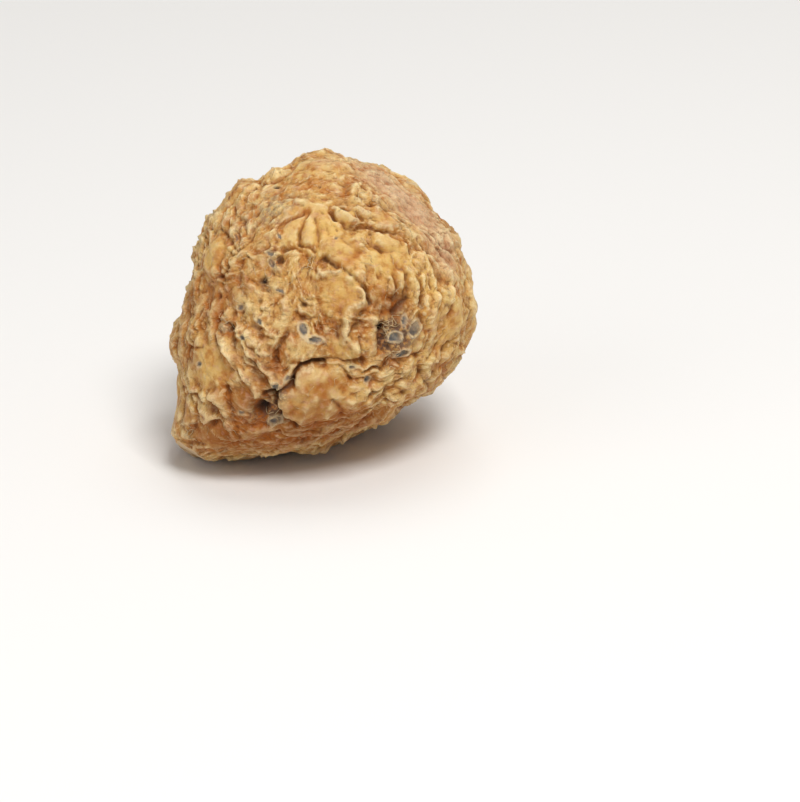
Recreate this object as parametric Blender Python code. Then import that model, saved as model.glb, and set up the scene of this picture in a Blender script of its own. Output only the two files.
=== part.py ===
"""A dried maca root: one small, hard, deeply wrinkled root lying on a flat spot of its own skin.

Metres, +Z up. The origin is on the surface it lies on, under the middle of its box.
Run it with blender --background --python part.py, or from the text editor.

The root is described in millimetres from its heart, a point near its middle, in three directions
of the front view, which looks down on it a little: right, up and toward the viewer. The plain body
is an outline seen from the front, rounded off toward the viewer and away. The skin's relief is then
raised on it along rays from the heart, so that the surface can't cross itself: swollen pads and
long folds of skin, with creases pressed in between them.
"""

import math

import bmesh
import bpy
import numpy as np

MM = 0.001

# Driving dimensions, in millimetres and degrees.
VIEW_TILT = 22.0            # how far the front view looks down
HEART_HEIGHT = 20.6         # heart above the surface that the root lies on
HEART_SIDE = -0.04          # heart to the right of the middle of the box
HEART_BACK = -1.1           # heart behind the middle of the box
FRONT_DEPTH = 19.5          # heart to the front of the plain body
BACK_DEPTH = 23.0           # heart to its back
FULLNESS = 2.35             # 2 is an ellipsoid, more is boxier
OUTLINE_BAND = 0.40         # how far from the outline its corners still show, as a share of depth
CORNER_ROUNDING = 1.6       # degrees over which the outline's corners are rounded
SOFT_ROUNDING = 14.0        # the same away from the outline

HEEL_HEIGHT = 2.0           # swelling underneath at the right that the root leans on
HEEL_WIDTH = 26.0           # its half width in degrees
TAIL_HEIGHT = 2.6           # broken stub of the tap root, at the back
TAIL_WIDTH = 11.0           # its half width in degrees
CUT_DISTANCE = 28.3         # heart to the flat cut where the leaves were trimmed off
REST_SINK = 0.3             # how far the plain body would reach below the resting surface
SPOT_WIDTH = 15.0           # half width in degrees of the flat spot under the weight

GRID_CELLS = 31             # cells along each edge of the cube that is blown up into the root
SKIN_LEVEL = 1.45           # how far the pads' feet lie below the outline, which runs over their tops
SKIN_FLOOR = -1.4           # depth of the skin between the pads
DEEPEST = -2.7              # the deepest that any crease goes
EVENING = 0.42              # share of the neighbours' height in each point's, against jagged folds
PAD_SHARE = 0.8             # how much of a pad's height is rounded, the rest is its steep edge
SEED = 5

# The outline in the front view: right and up from the heart, counter-clockwise from the right.
OUTLINE = [
    (22.6, -0.1), (21.6, 1.9), (20.4, 6.3), (20.0, 9.9), (16.1, 14.3), (15.2, 17.0),
    (10.4, 19.6), (7.9, 21.1), (4.7, 21.4), (-0.1, 23.1), (-2.7, 22.7), (-5.9, 20.7),
    (-10.3, 18.7), (-12.6, 18.6), (-15.7, 13.9), (-17.9, 13.3), (-18.9, 10.0), (-19.1, 4.7),
    (-20.3, 0.9), (-21.9, -2.6), (-22.7, -6.0), (-21.5, -8.6), (-21.3, -14.0), (-22.6, -19.5),
    (-19.5, -23.0), (-14.5, -22.6), (-10.7, -22.0), (-5.0, -21.0), (-0.9, -20.3), (2.4, -19.1),
    (5.0, -17.6), (8.6, -17.1), (10.6, -15.0), (12.6, -13.4), (15.1, -12.6), (19.0, -9.3),
    (20.9, -6.4),
]

# Broad flats where the root shrank as it dried: the way each faces (right, up, toward the viewer)
# and its distance from the heart.
FLATS = [
    ((0.58, 0.70, 0.42), 21.3),
    ((-0.90, 0.30, 0.32), 20.6),
    ((0.75, -0.45, 0.48), 20.0),
    ((0.60, 0.30, -0.74), 21.5),
    ((-0.62, -0.10, -0.77), 22.0),
    ((-0.30, 0.62, -0.72), 21.5),
]
FLAT_BLEND = 40.0           # higher is a crisper edge round each flat

HEEL_WAY = (5.0, 9.0, -20.0)            # right, back and up in the world
TAIL_WAY = (0.35, 0.45, -0.82)          # right, up and toward the viewer
CUT_WAY = (-0.54, -0.84, 0.13)

# Pads of swollen skin on the front: right, up, half length, half width, turn in degrees counter-
# clockwise from the right, rise, and how far the pad stands above its neighbours.
PADS_TOP = [
    (-0.3, 20.8, 3.7, 1.4, -4, 0.9, 0.2), (-10.9, 17.5, 1.3, 1.2, 20, 0.7, 0.3),
    (-9.8, 15.8, 2.4, 1.3, 8, 0.7, 0.1), (-6.1, 14.4, 4.3, 1.3, 3, 0.6, 0.1),
    (-12.1, 14.8, 1.2, 1.9, 8, 0.7, 0.2), (8.6, 12.4, 2.4, 1.3, -18, 1.0, 0.4),
]
PADS_LEFT = [
    (-16.6, 11.9, 1.7, 1.4, 30, 0.7, 0.2), (-16.3, 7.1, 2.1, 2.9, -8, 1.0, 0.5),
    (-11.2, 5.0, 2.4, 1.2, -22, 0.6, -0.1), (-12.1, 1.1, 1.2, 2.3, 34, 0.8, 0.3),
    (-16.6, 2.6, 1.7, 1.7, 0, 0.5, -0.3), (-18.5, 0.1, 1.7, 1.7, 0, 0.5, -0.2),
    (-19.4, -3.3, 1.6, 2.0, -10, 0.6, 0.0), (-16.3, -8.7, 3.4, 3.3, 0, 0.9, 0.2),
]
PADS_MIDDLE = [
    (-1.5, 10.5, 1.2, 2.7, 4, 1.1, 0.5), (-4.6, 11.5, 2.6, 1.2, 28, 0.8, 0.3),
    (-5.6, 9.7, 2.3, 1.2, 0, 0.7, 0.2), (1.7, 11.1, 1.2, 2.4, 36, 0.9, 0.4),
    (-4.6, 5.2, 2.1, 2.0, 20, 0.9, 0.3), (-8.5, -0.5, 1.3, 2.0, 30, 0.8, 0.2),
    (-5.3, -0.9, 1.2, 2.6, -8, 0.8, 0.2), (-2.1, 0.7, 1.4, 2.3, 0, 0.7, 0.1),
    (2.9, 6.0, 3.4, 1.3, -32, 1.2, 0.6), (4.0, 9.1, 2.0, 1.7, -20, 0.8, 0.2),
    (7.9, 6.1, 2.6, 1.7, -14, 0.9, 0.2), (2.8, 1.3, 3.0, 3.7, 12, 1.5, 0.5),
    (3.3, -5.9, 2.7, 1.9, -5, 1.1, 0.5), (6.8, -5.6, 1.7, 2.1, 8, 0.9, 0.3),
    (3.1, -2.7, 1.2, 2.9, -14, 1.0, 0.6), (-3.6, -6.8, 2.9, 2.0, 20, 1.0, 0.3),
]
PADS_RIGHT = [
    (8.9, 9.0, 2.0, 1.3, -10, 0.9, 0.3), (8.5, 1.9, 2.3, 1.7, -30, 0.8, 0.2),
    (11.0, 3.0, 1.2, 2.1, 4, 0.8, 0.2), (16.0, -1.7, 1.3, 4.6, 6, 1.1, 0.5),
    (19.3, -1.6, 1.7, 3.1, 4, 0.9, 0.3), (18.6, 4.4, 2.0, 2.3, 20, 0.7, 0.2),
    (14.2, 5.3, 1.2, 2.0, 20, 0.7, 0.2), (15.9, -7.5, 2.0, 1.3, 16, 0.9, 0.3),
    (18.9, -6.1, 1.9, 1.3, 30, 0.7, 0.2), (12.7, -8.4, 1.3, 1.3, 0, 0.8, 0.3),
    (12.3, -10.9, 1.6, 1.3, 0, 0.8, 0.3), (10.2, -13.4, 1.3, 1.7, -30, 0.9, 0.4),
]
PADS_LOW = [
    (-1.4, -13.4, 5.3, 3.6, 14, 1.7, 0.7), (2.1, -9.2, 3.7, 1.2, -18, 0.9, 0.4),
    (-5.6, -10.9, 2.1, 1.2, -14, 0.9, 0.6), (-11.3, -13.8, 2.3, 2.9, 10, 0.8, 0.0),
    (-16.9, -14.7, 1.3, 2.4, 22, 0.9, 0.6), (-19.7, -15.5, 1.4, 2.1, 0, 0.7, 0.1),
    (-16.4, -19.1, 2.4, 2.3, -20, 0.8, 0.1), (-11.0, -18.3, 2.9, 1.2, 4, 0.7, 0.1),
    (-0.5, -18.4, 3.7, 1.2, 14, 0.7, 0.1), (5.5, -12.9, 1.3, 2.0, -10, 0.8, 0.1),
]
PADS = PADS_TOP + PADS_LEFT + PADS_MIDDLE + PADS_RIGHT + PADS_LOW

# Long folds: the points that each runs through (right, up), its half width, rise and stand.
FOLDS = [
    ([(-16.1, -3.5), (-14.3, -5.1), (-12.8, -7.7), (-9.4, -12.4)], 1.0, 0.9, 0.5),
    ([(-12.1, -3.3), (-10.9, -5.9), (-9.3, -7.7), (-5.9, -11.8)], 1.0, 0.9, 0.5),
    ([(-10.6, -0.1), (-9.3, -1.7), (-6.0, -4.5)], 0.9, 0.8, 0.3),
    ([(0.9, 14.3), (3.7, 12.9), (6.3, 11.1)], 0.8, 0.7, 0.3),
    ([(4.7, 13.9), (6.5, 12.4), (10.2, 10.9)], 0.8, 0.6, 0.5),
    ([(13.5, 8.8), (15.1, 6.2), (16.3, 0.8)], 0.8, 0.8, 0.3),
    ([(17.2, 6.2), (18.0, 3.7), (18.4, 0.9)], 0.8, 0.7, 0.2),
    ([(5.9, 0.5), (3.4, -1.8), (2.8, -3.4), (5.1, -6.5)], 0.9, 0.9, 0.7),
]

# Creases: the points that each runs through (right, up) and its depth.
CREASES = [
    ([(-6.3, 6.2), (-5.4, 8.1), (-2.9, 7.7)], 0.7),
    ([(0.3, 6.7), (3.1, 4.8), (5.7, 2.1), (6.5, 0.3)], 1.0),
    ([(4.6, 16.2), (6.2, 14.5), (10.6, 13.5), (13.0, 11.4)], 0.7),
    ([(11.8, 2.2), (12.1, 0.8), (10.7, -0.9)], 0.9),
    ([(-7.0, -9.8), (-6.8, -6.5), (-5.8, -5.1), (-2.8, -1.8)], 1.1),
    ([(-3.8, -11.2), (-3.6, -9.9), (-1.0, -8.3)], 1.1),
    ([(-8.5, -13.1), (-6.3, -12.4), (-4.5, -12.0)], 0.9),
    ([(-6.2, -12.9), (-6.2, -14.3), (-3.3, -17.5)], 0.9),
    ([(-18.4, -15.3), (-17.7, -16.8), (-15.7, -16.7)], 0.6),
    ([(-15.1, 11.9), (-12.6, 7.8)], 0.5),
    ([(8.6, -3.3), (8.3, -4.8), (8.8, -6.5)], 0.9),
]
CREASE_WIDTH = 0.8

# Round hollows left by rootlets and shrinkage: right, up, radius and depth.
HOLLOWS = [
    (11.3, -4.5, 3.3, 1.0), (-7.4, -15.0, 2.0, 1.4), (-7.1, -7.6, 2.4, 0.6), (1.0, -3.8, 2.0, 0.6),
    (11.8, 0.5, 2.2, 0.7), (-8.5, 4.0, 1.8, 0.9), (-15.9, 2.0, 2.0, 0.4), (-6.8, 17.2, 1.0, 0.9),
]

# Skin that isn't on the front is covered by a rule: pads and wrinkles spread evenly, at random turns
# round the way that the nearby skin runs.
SPREAD_PADS = 330
PAD_LENGTHS = (1.9, 3.6)
PAD_WIDTHS = (1.2, 2.1)
PAD_RISES = (0.55, 1.0)
PAD_STANDS = (-0.4, 0.3)
SPREAD_WRINKLES = 950
WRINKLE_LENGTHS = (2.4, 5.5)
WRINKLE_WIDTHS = (0.95, 1.45)
WRINKLE_RISE = 0.85
WRINKLE_TURN = 0.35         # spread of the wrinkles' turns, in radians
FLOW_REACH = 4.0            # how far a pad or fold leads the wrinkles beside it
DRIFT_SIZE = 14.0           # size of the swirls in which wrinkles run where no pad leads them

# The wander of pads and creases: size of the waves and how far they shift the skin.
WANDER = [(3.1, 0.60), (1.3, 0.25)]

SKIN_COLOUR = (0.56, 0.33, 0.12, 1.0)
SKIN_ROUGHNESS = 0.8

TILT = math.radians(VIEW_TILT)
RIGHT = np.array([1.0, 0.0, 0.0])
UP = np.array([0.0, math.sin(TILT), math.cos(TILT)])
TOWARD = np.array([0.0, -math.cos(TILT), math.sin(TILT)])
DOWN = np.array([0.0, 0.0, -1.0])


def unit(vectors):
    """The vectors at length one."""
    vectors = np.asarray(vectors, dtype=float)
    return vectors / np.linalg.norm(vectors, axis=-1, keepdims=True)


def way(view_direction):
    """A front-view direction (right, up, toward the viewer) as a unit vector in the world."""
    right, up, toward = view_direction
    return unit(right * RIGHT + up * UP + toward * TOWARD)


def swelling(directions, middle, half_width, flatness=2):
    """A round bump, 1 at the direction in its middle and falling to a third at its half width."""
    angle = np.arccos(np.clip(directions @ middle, -1.0, 1.0))
    return np.exp(-((angle / math.radians(half_width)) ** flatness))


class Outline:
    """The outline's distance from the heart at every turn round the front view."""

    STEP = 0.5              # degrees between the samples

    def __init__(self, corners, rounding):
        """Draws the outline through its corners and rounds it over so many degrees."""
        corners = np.array(corners)
        angles = np.arctan2(corners[:, 1], corners[:, 0])
        reach = np.hypot(corners[:, 0], corners[:, 1])
        self.turns = np.radians(np.arange(0.0, 360.0, self.STEP))
        sharp = np.interp(self.turns, angles, reach, period=2.0 * math.pi)
        apart = np.minimum(np.arange(len(sharp)), len(sharp) - np.arange(len(sharp)))
        weight = np.exp(-0.5 * (apart * self.STEP / rounding) ** 2)
        weight /= weight.sum()
        self.reach = np.real(np.fft.ifft(np.fft.fft(sharp) * np.fft.fft(weight)))

    def __call__(self, turns):
        """The outline's distance at these turns, in radians."""
        return np.interp(turns, self.turns, self.reach, period=2.0 * math.pi)


DETAILED_OUTLINE = Outline(OUTLINE, CORNER_ROUNDING)
SOFT_OUTLINE = Outline(OUTLINE, SOFT_ROUNDING)


def soft_least(first, second, sharpness):
    """The lesser of two distances, rounded where they cross."""
    return (first ** -sharpness + second ** -sharpness) ** (-1.0 / sharpness)


def plane_distance(directions, normal, distance):
    """How far from the heart each ray meets a plane, very far where it points away from it."""
    return distance / np.maximum(directions @ normal, 0.02)


def body_reach(directions):
    """Distance from the heart to the plain body, without relief, along unit directions."""
    right = directions @ RIGHT
    up = directions @ UP
    toward = directions @ TOWARD
    turns = np.arctan2(up, right)
    soft = SOFT_OUTLINE(turns)
    crisp = np.exp(-((toward / OUTLINE_BAND) ** 2))
    outline = soft + (DETAILED_OUTLINE(turns) - soft) * crisp
    depth = np.where(toward > 0.0, FRONT_DEPTH, BACK_DEPTH)
    across = (np.hypot(right, up) / outline) ** FULLNESS
    along = (np.abs(toward) / depth) ** FULLNESS
    reach = (across + along) ** (-1.0 / FULLNESS)
    for facing, distance in FLATS:
        reach = soft_least(reach, plane_distance(directions, way(facing), distance), FLAT_BLEND)
    reach = reach + HEEL_HEIGHT * swelling(directions, unit(HEEL_WAY), HEEL_WIDTH)
    reach = reach + TAIL_HEIGHT * swelling(directions, way(TAIL_WAY), TAIL_WIDTH, 4)
    floor = plane_distance(directions, DOWN, HEART_HEIGHT + REST_SINK)
    return soft_least(reach, floor, FLAT_BLEND)


def on_front(places):
    """Points of the plain body in front of these (right, up) places, found by closing in on them."""
    places = np.asarray(places, dtype=float).reshape(-1, 2)
    flat = places[:, :1] * RIGHT + places[:, 1:] * UP
    across = (places ** 2).sum(axis=1)
    toward = np.full(len(places), 12.0)
    for _ in range(14):
        reach = body_reach(unit(flat + toward[:, None] * TOWARD))
        toward = 0.5 * (toward + np.sqrt(np.maximum(reach ** 2 - across, 0.3)))
    return flat + toward[:, None] * TOWARD


def on_all_sides(count, jitter, generator):
    """Points spread evenly over the whole body on a golden spiral, each moved a little."""
    k = np.arange(count) + 0.5
    height = 1.0 - 2.0 * k / count
    turn = k * math.pi * (3.0 - math.sqrt(5.0))
    ring = np.sqrt(1.0 - height ** 2)
    spiral = np.stack([ring * np.cos(turn), ring * np.sin(turn), height], axis=1)
    spiral += generator.normal(size=spiral.shape) * jitter * math.sqrt(4.0 * math.pi / count)
    directions = unit(spiral)
    return directions * body_reach(directions)[:, None]


def along_skin(vectors, points):
    """The part of each vector that runs along the skin at its point, at length one."""
    outward = unit(points)
    level = vectors - (vectors * outward).sum(axis=1, keepdims=True) * outward
    return unit(level)


class Wander:
    """Smooth noise on a lattice of seeded slopes, which makes pads and creases wander."""

    def __init__(self, seed):
        """Draws the slopes."""
        generator = np.random.default_rng(seed)
        self.order = generator.permutation(256)
        self.slopes = unit(generator.normal(size=(256, 3)))

    def __call__(self, points):
        """The noise at these points, about -1 to 1."""
        cell = np.floor(points).astype(int)
        inside = points - cell
        ease = inside ** 3 * (inside * (inside * 6.0 - 15.0) + 10.0)
        total = np.zeros(len(points))
        for corner in np.ndindex(2, 2, 2):
            key = self.order[(cell[:, 0] + corner[0]) & 255]
            key = self.order[(key + cell[:, 1] + corner[1]) & 255]
            key = self.order[(key + cell[:, 2] + corner[2]) & 255]
            rise = (self.slopes[key] * (inside - corner)).sum(axis=1)
            share = np.where(corner, ease, 1.0 - ease).prod(axis=1)
            total += rise * share
        return total * 1.5


def wander(points, size, seed):
    """Three such noises side by side, as a shift in each direction."""
    return np.stack([Wander(seed + axis)(points / size) for axis in range(3)], axis=1)


def raise_ovals(relief, points, middles, runs, lengths, widths, rises, stands, edge):
    """Raises the relief to the tops of oval domes, wherever they stand above it.

    Each dome is stand + rise * (1 - q ** edge), where q is 1 on its oval rim.
    """
    sides = np.cross(unit(middles), runs)
    for middle, run, side, length, width, rise, stand in zip(
            middles, runs, sides, lengths, widths, rises, stands):
        near = np.flatnonzero(((points - middle) ** 2).sum(axis=1) < (1.3 * max(length, width)) ** 2)
        offset = points[near] - middle
        rim = (offset @ run / length) ** 2 + (offset @ side / width) ** 2
        dome = stand + rise * (1.0 - rim ** edge)
        relief[near] = np.where(rim < 1.5, np.maximum(relief[near], dome), relief[near])
    return relief


def line_distance(points, line):
    """Distance from each point to the nearest place on a line through several points."""
    nearest = np.full(len(points), np.inf)
    for start, end in zip(line[:-1], line[1:]):
        step = end - start
        share = np.clip((points - start) @ step / (step @ step), 0.0, 1.0)
        nearest = np.minimum(nearest, np.linalg.norm(points - start - share[:, None] * step, axis=1))
    return nearest


def front_line(places, spacing=0.8):
    """A line on the front of the body through these places, with a point at each spacing."""
    places = np.array(places)
    runs = np.append(0.0, np.cumsum(np.hypot(*np.diff(places, axis=0).T)))
    steps = np.linspace(0.0, runs[-1], max(2, int(runs[-1] / spacing) + 1))
    even = np.stack([np.interp(steps, runs, places[:, axis]) for axis in range(2)], axis=1)
    return on_front(even)


def skin_runs(points, leaders, leader_runs):
    """The way that wrinkles run at each point: the strongest mean of the runs of nearby pads."""
    apart = ((points[:, None] - leaders[None]) ** 2).sum(axis=2)
    weight = np.exp(-apart / (2.0 * FLOW_REACH ** 2))
    spread = np.einsum("pk,ki,kj->pij", weight, leader_runs, leader_runs)
    drift = unit(wander(points, DRIFT_SIZE, 71) + 0.001)
    spread += 0.04 * drift[:, :, None] * drift[:, None, :]
    outward = unit(points)
    level = np.eye(3) - outward[:, :, None] * outward[:, None, :]
    return np.linalg.eigh(level @ spread @ level)[1][:, :, 2]


def skin_relief(points):
    """Height of the skin above the plain body at its points."""
    generator = np.random.default_rng(SEED)
    moved = points.copy()
    for number, (size, shift) in enumerate(WANDER):
        moved += shift * wander(points, size, 11 + 10 * number)

    placed = np.array(PADS)
    middles = on_front(placed[:, :2])
    turns = np.radians(placed[:, 4])
    runs = along_skin(np.cos(turns)[:, None] * RIGHT + np.sin(turns)[:, None] * UP, middles)

    relief = np.full(len(points), SKIN_FLOOR)
    spread = on_all_sides(SPREAD_PADS, 0.35, generator)
    apart = np.linalg.norm(spread[:, None] - middles[None], axis=2)
    spread = spread[(apart > 0.75 * placed[:, 2:4].max(axis=1)).all(axis=1)]
    spans = (PAD_LENGTHS, PAD_WIDTHS, PAD_RISES, PAD_STANDS)
    sizes = [generator.uniform(*span, len(spread)) for span in spans]
    sizes[3] -= SKIN_LEVEL
    relief = raise_ovals(relief, moved, spread, skin_runs(spread, middles, runs), *sizes, 1.4)
    stands = placed[:, 6] + (1.0 - PAD_SHARE) * placed[:, 5] - SKIN_LEVEL
    relief = raise_ovals(relief, moved, middles, runs, placed[:, 2], placed[:, 3],
                         PAD_SHARE * placed[:, 5], stands, 2.4)
    for places, half_width, rise, stand in FOLDS:
        across = line_distance(moved, front_line(places)) / half_width
        ridge = stand - SKIN_LEVEL + rise * (1.0 - across ** 2.2)
        relief = np.where(across < 1.15, np.maximum(relief, ridge), relief)
    return relief + wrinkles(moved, middles, runs, generator) - furrows(points, moved)


def wrinkles(moved, leaders, leader_runs, generator):
    """Narrow ridges that cover the whole skin, as a height round zero."""
    middles = on_all_sides(SPREAD_WRINKLES, 0.5, generator)
    runs = skin_runs(middles, leaders, leader_runs)
    turns = generator.normal(0.0, WRINKLE_TURN, len(middles))[:, None]
    runs = np.cos(turns) * runs + np.sin(turns) * np.cross(unit(middles), runs)
    lengths = generator.uniform(*WRINKLE_LENGTHS, len(middles))
    widths = generator.uniform(*WRINKLE_WIDTHS, len(middles))
    rises = np.full(len(middles), WRINKLE_RISE)
    stands = generator.uniform(-0.3, 0.2, len(middles))
    start = np.full(len(moved), -WRINKLE_RISE)
    return raise_ovals(start, moved, middles, runs, lengths, widths, rises, stands, 1.2)


def furrows(points, moved):
    """Depth of the creases and hollows at each point."""
    depth = np.zeros(len(points))
    halfway = 0.5 * (points + moved)
    for places, deep in CREASES:
        across = line_distance(halfway, front_line(places)) / CREASE_WIDTH
        depth += deep * np.exp(-(across ** 1.6))
    for right, up, radius, deep in HOLLOWS:
        across = np.linalg.norm(points - on_front([(right, up)]), axis=1) / radius
        depth += deep * np.exp(-(across ** 2))
    return depth


def evened(relief, edges):
    """The relief averaged with its neighbours on the grid, which is coarser than the sharpest folds."""
    total = np.zeros(len(relief))
    count = np.zeros(len(relief))
    for here, there in (edges.T, edges[:, ::-1].T):
        np.add.at(total, here, relief[there])
        np.add.at(count, here, 1.0)
    return (1.0 - EVENING) * relief + EVENING * total / count


def root_points(directions, edges):
    """The root's surface along unit directions from the heart, cut and rested, in the world."""
    reach = body_reach(directions)
    relief = np.maximum(skin_relief(directions * reach[:, None]), DEEPEST)
    relief = evened(relief, edges) * (1.0 - swelling(directions, DOWN, SPOT_WIDTH, 4))
    reach = reach + relief
    reach = np.minimum(reach, plane_distance(directions, way(CUT_WAY), CUT_DISTANCE))
    reach = np.minimum(reach, plane_distance(directions, DOWN, HEART_HEIGHT))
    return directions * reach[:, None] + np.array([HEART_SIDE, HEART_BACK, HEART_HEIGHT])


def skin_material():
    """Dry ochre skin."""
    material = bpy.data.materials.new("dried_skin")
    material.use_nodes = True
    shader = material.node_tree.nodes["Principled BSDF"]
    shader.inputs["Base Color"].default_value = SKIN_COLOUR
    shader.inputs["Roughness"].default_value = SKIN_ROUGHNESS
    shader.inputs["Metallic"].default_value = 0.0
    return material


def make_root():
    """Blows a gridded cube up into the root and adds it to the scene."""
    grid = bmesh.new()
    bmesh.ops.create_cube(grid, size=2.0)
    bmesh.ops.subdivide_edges(grid, edges=grid.edges[:], cuts=GRID_CELLS - 1, use_grid_fill=True)
    grid.verts.index_update()
    cube = np.array([vertex.co for vertex in grid.verts])
    edges = np.array([[vertex.index for vertex in edge.verts] for edge in grid.edges])
    points = root_points(unit(np.tan(cube * math.pi / 4.0)), edges)
    for vertex, point in zip(grid.verts, points):
        vertex.co = point * MM
    bmesh.ops.triangulate(grid, faces=grid.faces[:], quad_method="SHORT_EDGE")
    mesh = bpy.data.meshes.new("maca_root")
    grid.to_mesh(mesh)
    grid.free()
    mesh.shade_smooth()
    mesh.materials.append(skin_material())
    root = bpy.data.objects.new("maca_root", mesh)
    bpy.context.scene.collection.objects.link(root)
    return root


for old in list(bpy.data.objects):
    bpy.data.objects.remove(old)
make_root()
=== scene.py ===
"""The looks of a dried maca root: its crumpled skin, scars, rootlets, and a plain pale studio.

The root is described in millimetres from its heart, a point near its middle, in three directions
of the front view, which looks down on it a little: right, up and toward the viewer. A plain body,
the outline seen from the front and rounded off toward the viewer and away, carries the skin's
relief, which is raised on it along rays from the heart: swollen pads, long folds, fine wrinkles,
creases, rootlet pits and scars. The same sums give the masks that colour the skin.
"""

import logging
import math
from collections.abc import Iterator
from dataclasses import dataclass, field
from enum import Enum

import bpy
import numpy as np
from mathutils import Matrix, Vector
from mathutils.bvhtree import BVHTree


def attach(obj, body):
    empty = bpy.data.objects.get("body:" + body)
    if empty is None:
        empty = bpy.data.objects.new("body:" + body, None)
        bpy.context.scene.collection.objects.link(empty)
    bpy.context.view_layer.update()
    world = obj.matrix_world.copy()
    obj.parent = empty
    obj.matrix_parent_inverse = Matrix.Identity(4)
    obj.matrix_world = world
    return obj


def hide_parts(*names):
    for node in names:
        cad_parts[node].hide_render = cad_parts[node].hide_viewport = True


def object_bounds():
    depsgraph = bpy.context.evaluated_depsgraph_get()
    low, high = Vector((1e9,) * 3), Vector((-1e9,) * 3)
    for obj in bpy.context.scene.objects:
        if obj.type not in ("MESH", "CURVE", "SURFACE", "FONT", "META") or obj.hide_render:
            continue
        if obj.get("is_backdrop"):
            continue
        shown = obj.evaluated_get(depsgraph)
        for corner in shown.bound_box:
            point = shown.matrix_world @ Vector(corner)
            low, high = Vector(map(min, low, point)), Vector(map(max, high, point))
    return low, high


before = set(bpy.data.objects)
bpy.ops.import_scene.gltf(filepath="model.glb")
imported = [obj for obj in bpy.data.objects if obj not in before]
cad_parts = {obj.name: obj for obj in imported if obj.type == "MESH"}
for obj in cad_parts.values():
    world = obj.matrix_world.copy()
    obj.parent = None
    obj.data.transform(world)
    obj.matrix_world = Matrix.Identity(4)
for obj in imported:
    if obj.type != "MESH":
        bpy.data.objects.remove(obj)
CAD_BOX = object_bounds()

LOG = logging.getLogger("maca_root")
Array = np.ndarray
Rows = tuple[tuple[float, ...], ...]
Span = tuple[float, float]
Way = tuple[float, float, float]
Line = tuple[Span, ...]
Lines = tuple[tuple[Line, float, float], ...]
Socket = bpy.types.NodeSocket

MM = 0.001
BODY = "root"
NODE = "maca_root"
LEAST_SLOPE = 0.02

VIEW_TILT = 22.0
HEART = np.array([-0.04, -1.1, 20.6])

TILT = math.radians(VIEW_TILT)
RIGHT = np.array([1.0, 0.0, 0.0])
UP = np.array([0.0, math.sin(TILT), math.cos(TILT)])
TOWARD = np.array([0.0, -math.cos(TILT), math.sin(TILT)])
DOWN = np.array([0.0, 0.0, -1.0])

# The outline in the front view: right and up from the heart, counter-clockwise from the right.
OUTLINE: Rows = (
    (22.6, -0.1), (21.6, 1.9), (20.4, 6.3), (20.0, 9.9), (16.1, 14.3), (15.2, 17.0), (10.4, 19.6),
    (7.9, 21.1), (4.7, 21.4), (-0.1, 23.1), (-2.7, 22.7), (-5.9, 20.7), (-10.3, 18.7),
    (-12.6, 18.6), (-15.7, 13.9), (-17.9, 13.3), (-18.9, 10.0), (-19.1, 4.7), (-20.3, 0.9),
    (-21.9, -2.6), (-22.7, -6.0), (-21.5, -8.6), (-21.3, -14.0), (-22.6, -19.5), (-19.5, -23.0),
    (-14.5, -22.6), (-10.7, -22.0), (-5.0, -21.0), (-0.9, -20.3), (2.4, -19.1), (5.0, -17.6),
    (8.6, -17.1), (10.6, -15.0), (12.6, -13.4), (15.1, -12.6), (19.0, -9.3), (20.9, -6.4),
)

# Broad flats: the way each faces (right, up, toward the viewer) and its distance from the heart.
FLATS: tuple[tuple[Way, float], ...] = (
    ((0.58, 0.70, 0.42), 21.3),
    ((-0.90, 0.30, 0.32), 20.6),
    ((0.75, -0.45, 0.48), 20.0),
    ((0.60, 0.30, -0.74), 21.5),
    ((-0.62, -0.10, -0.77), 22.0),
    ((-0.30, 0.62, -0.72), 21.5),
)

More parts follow.
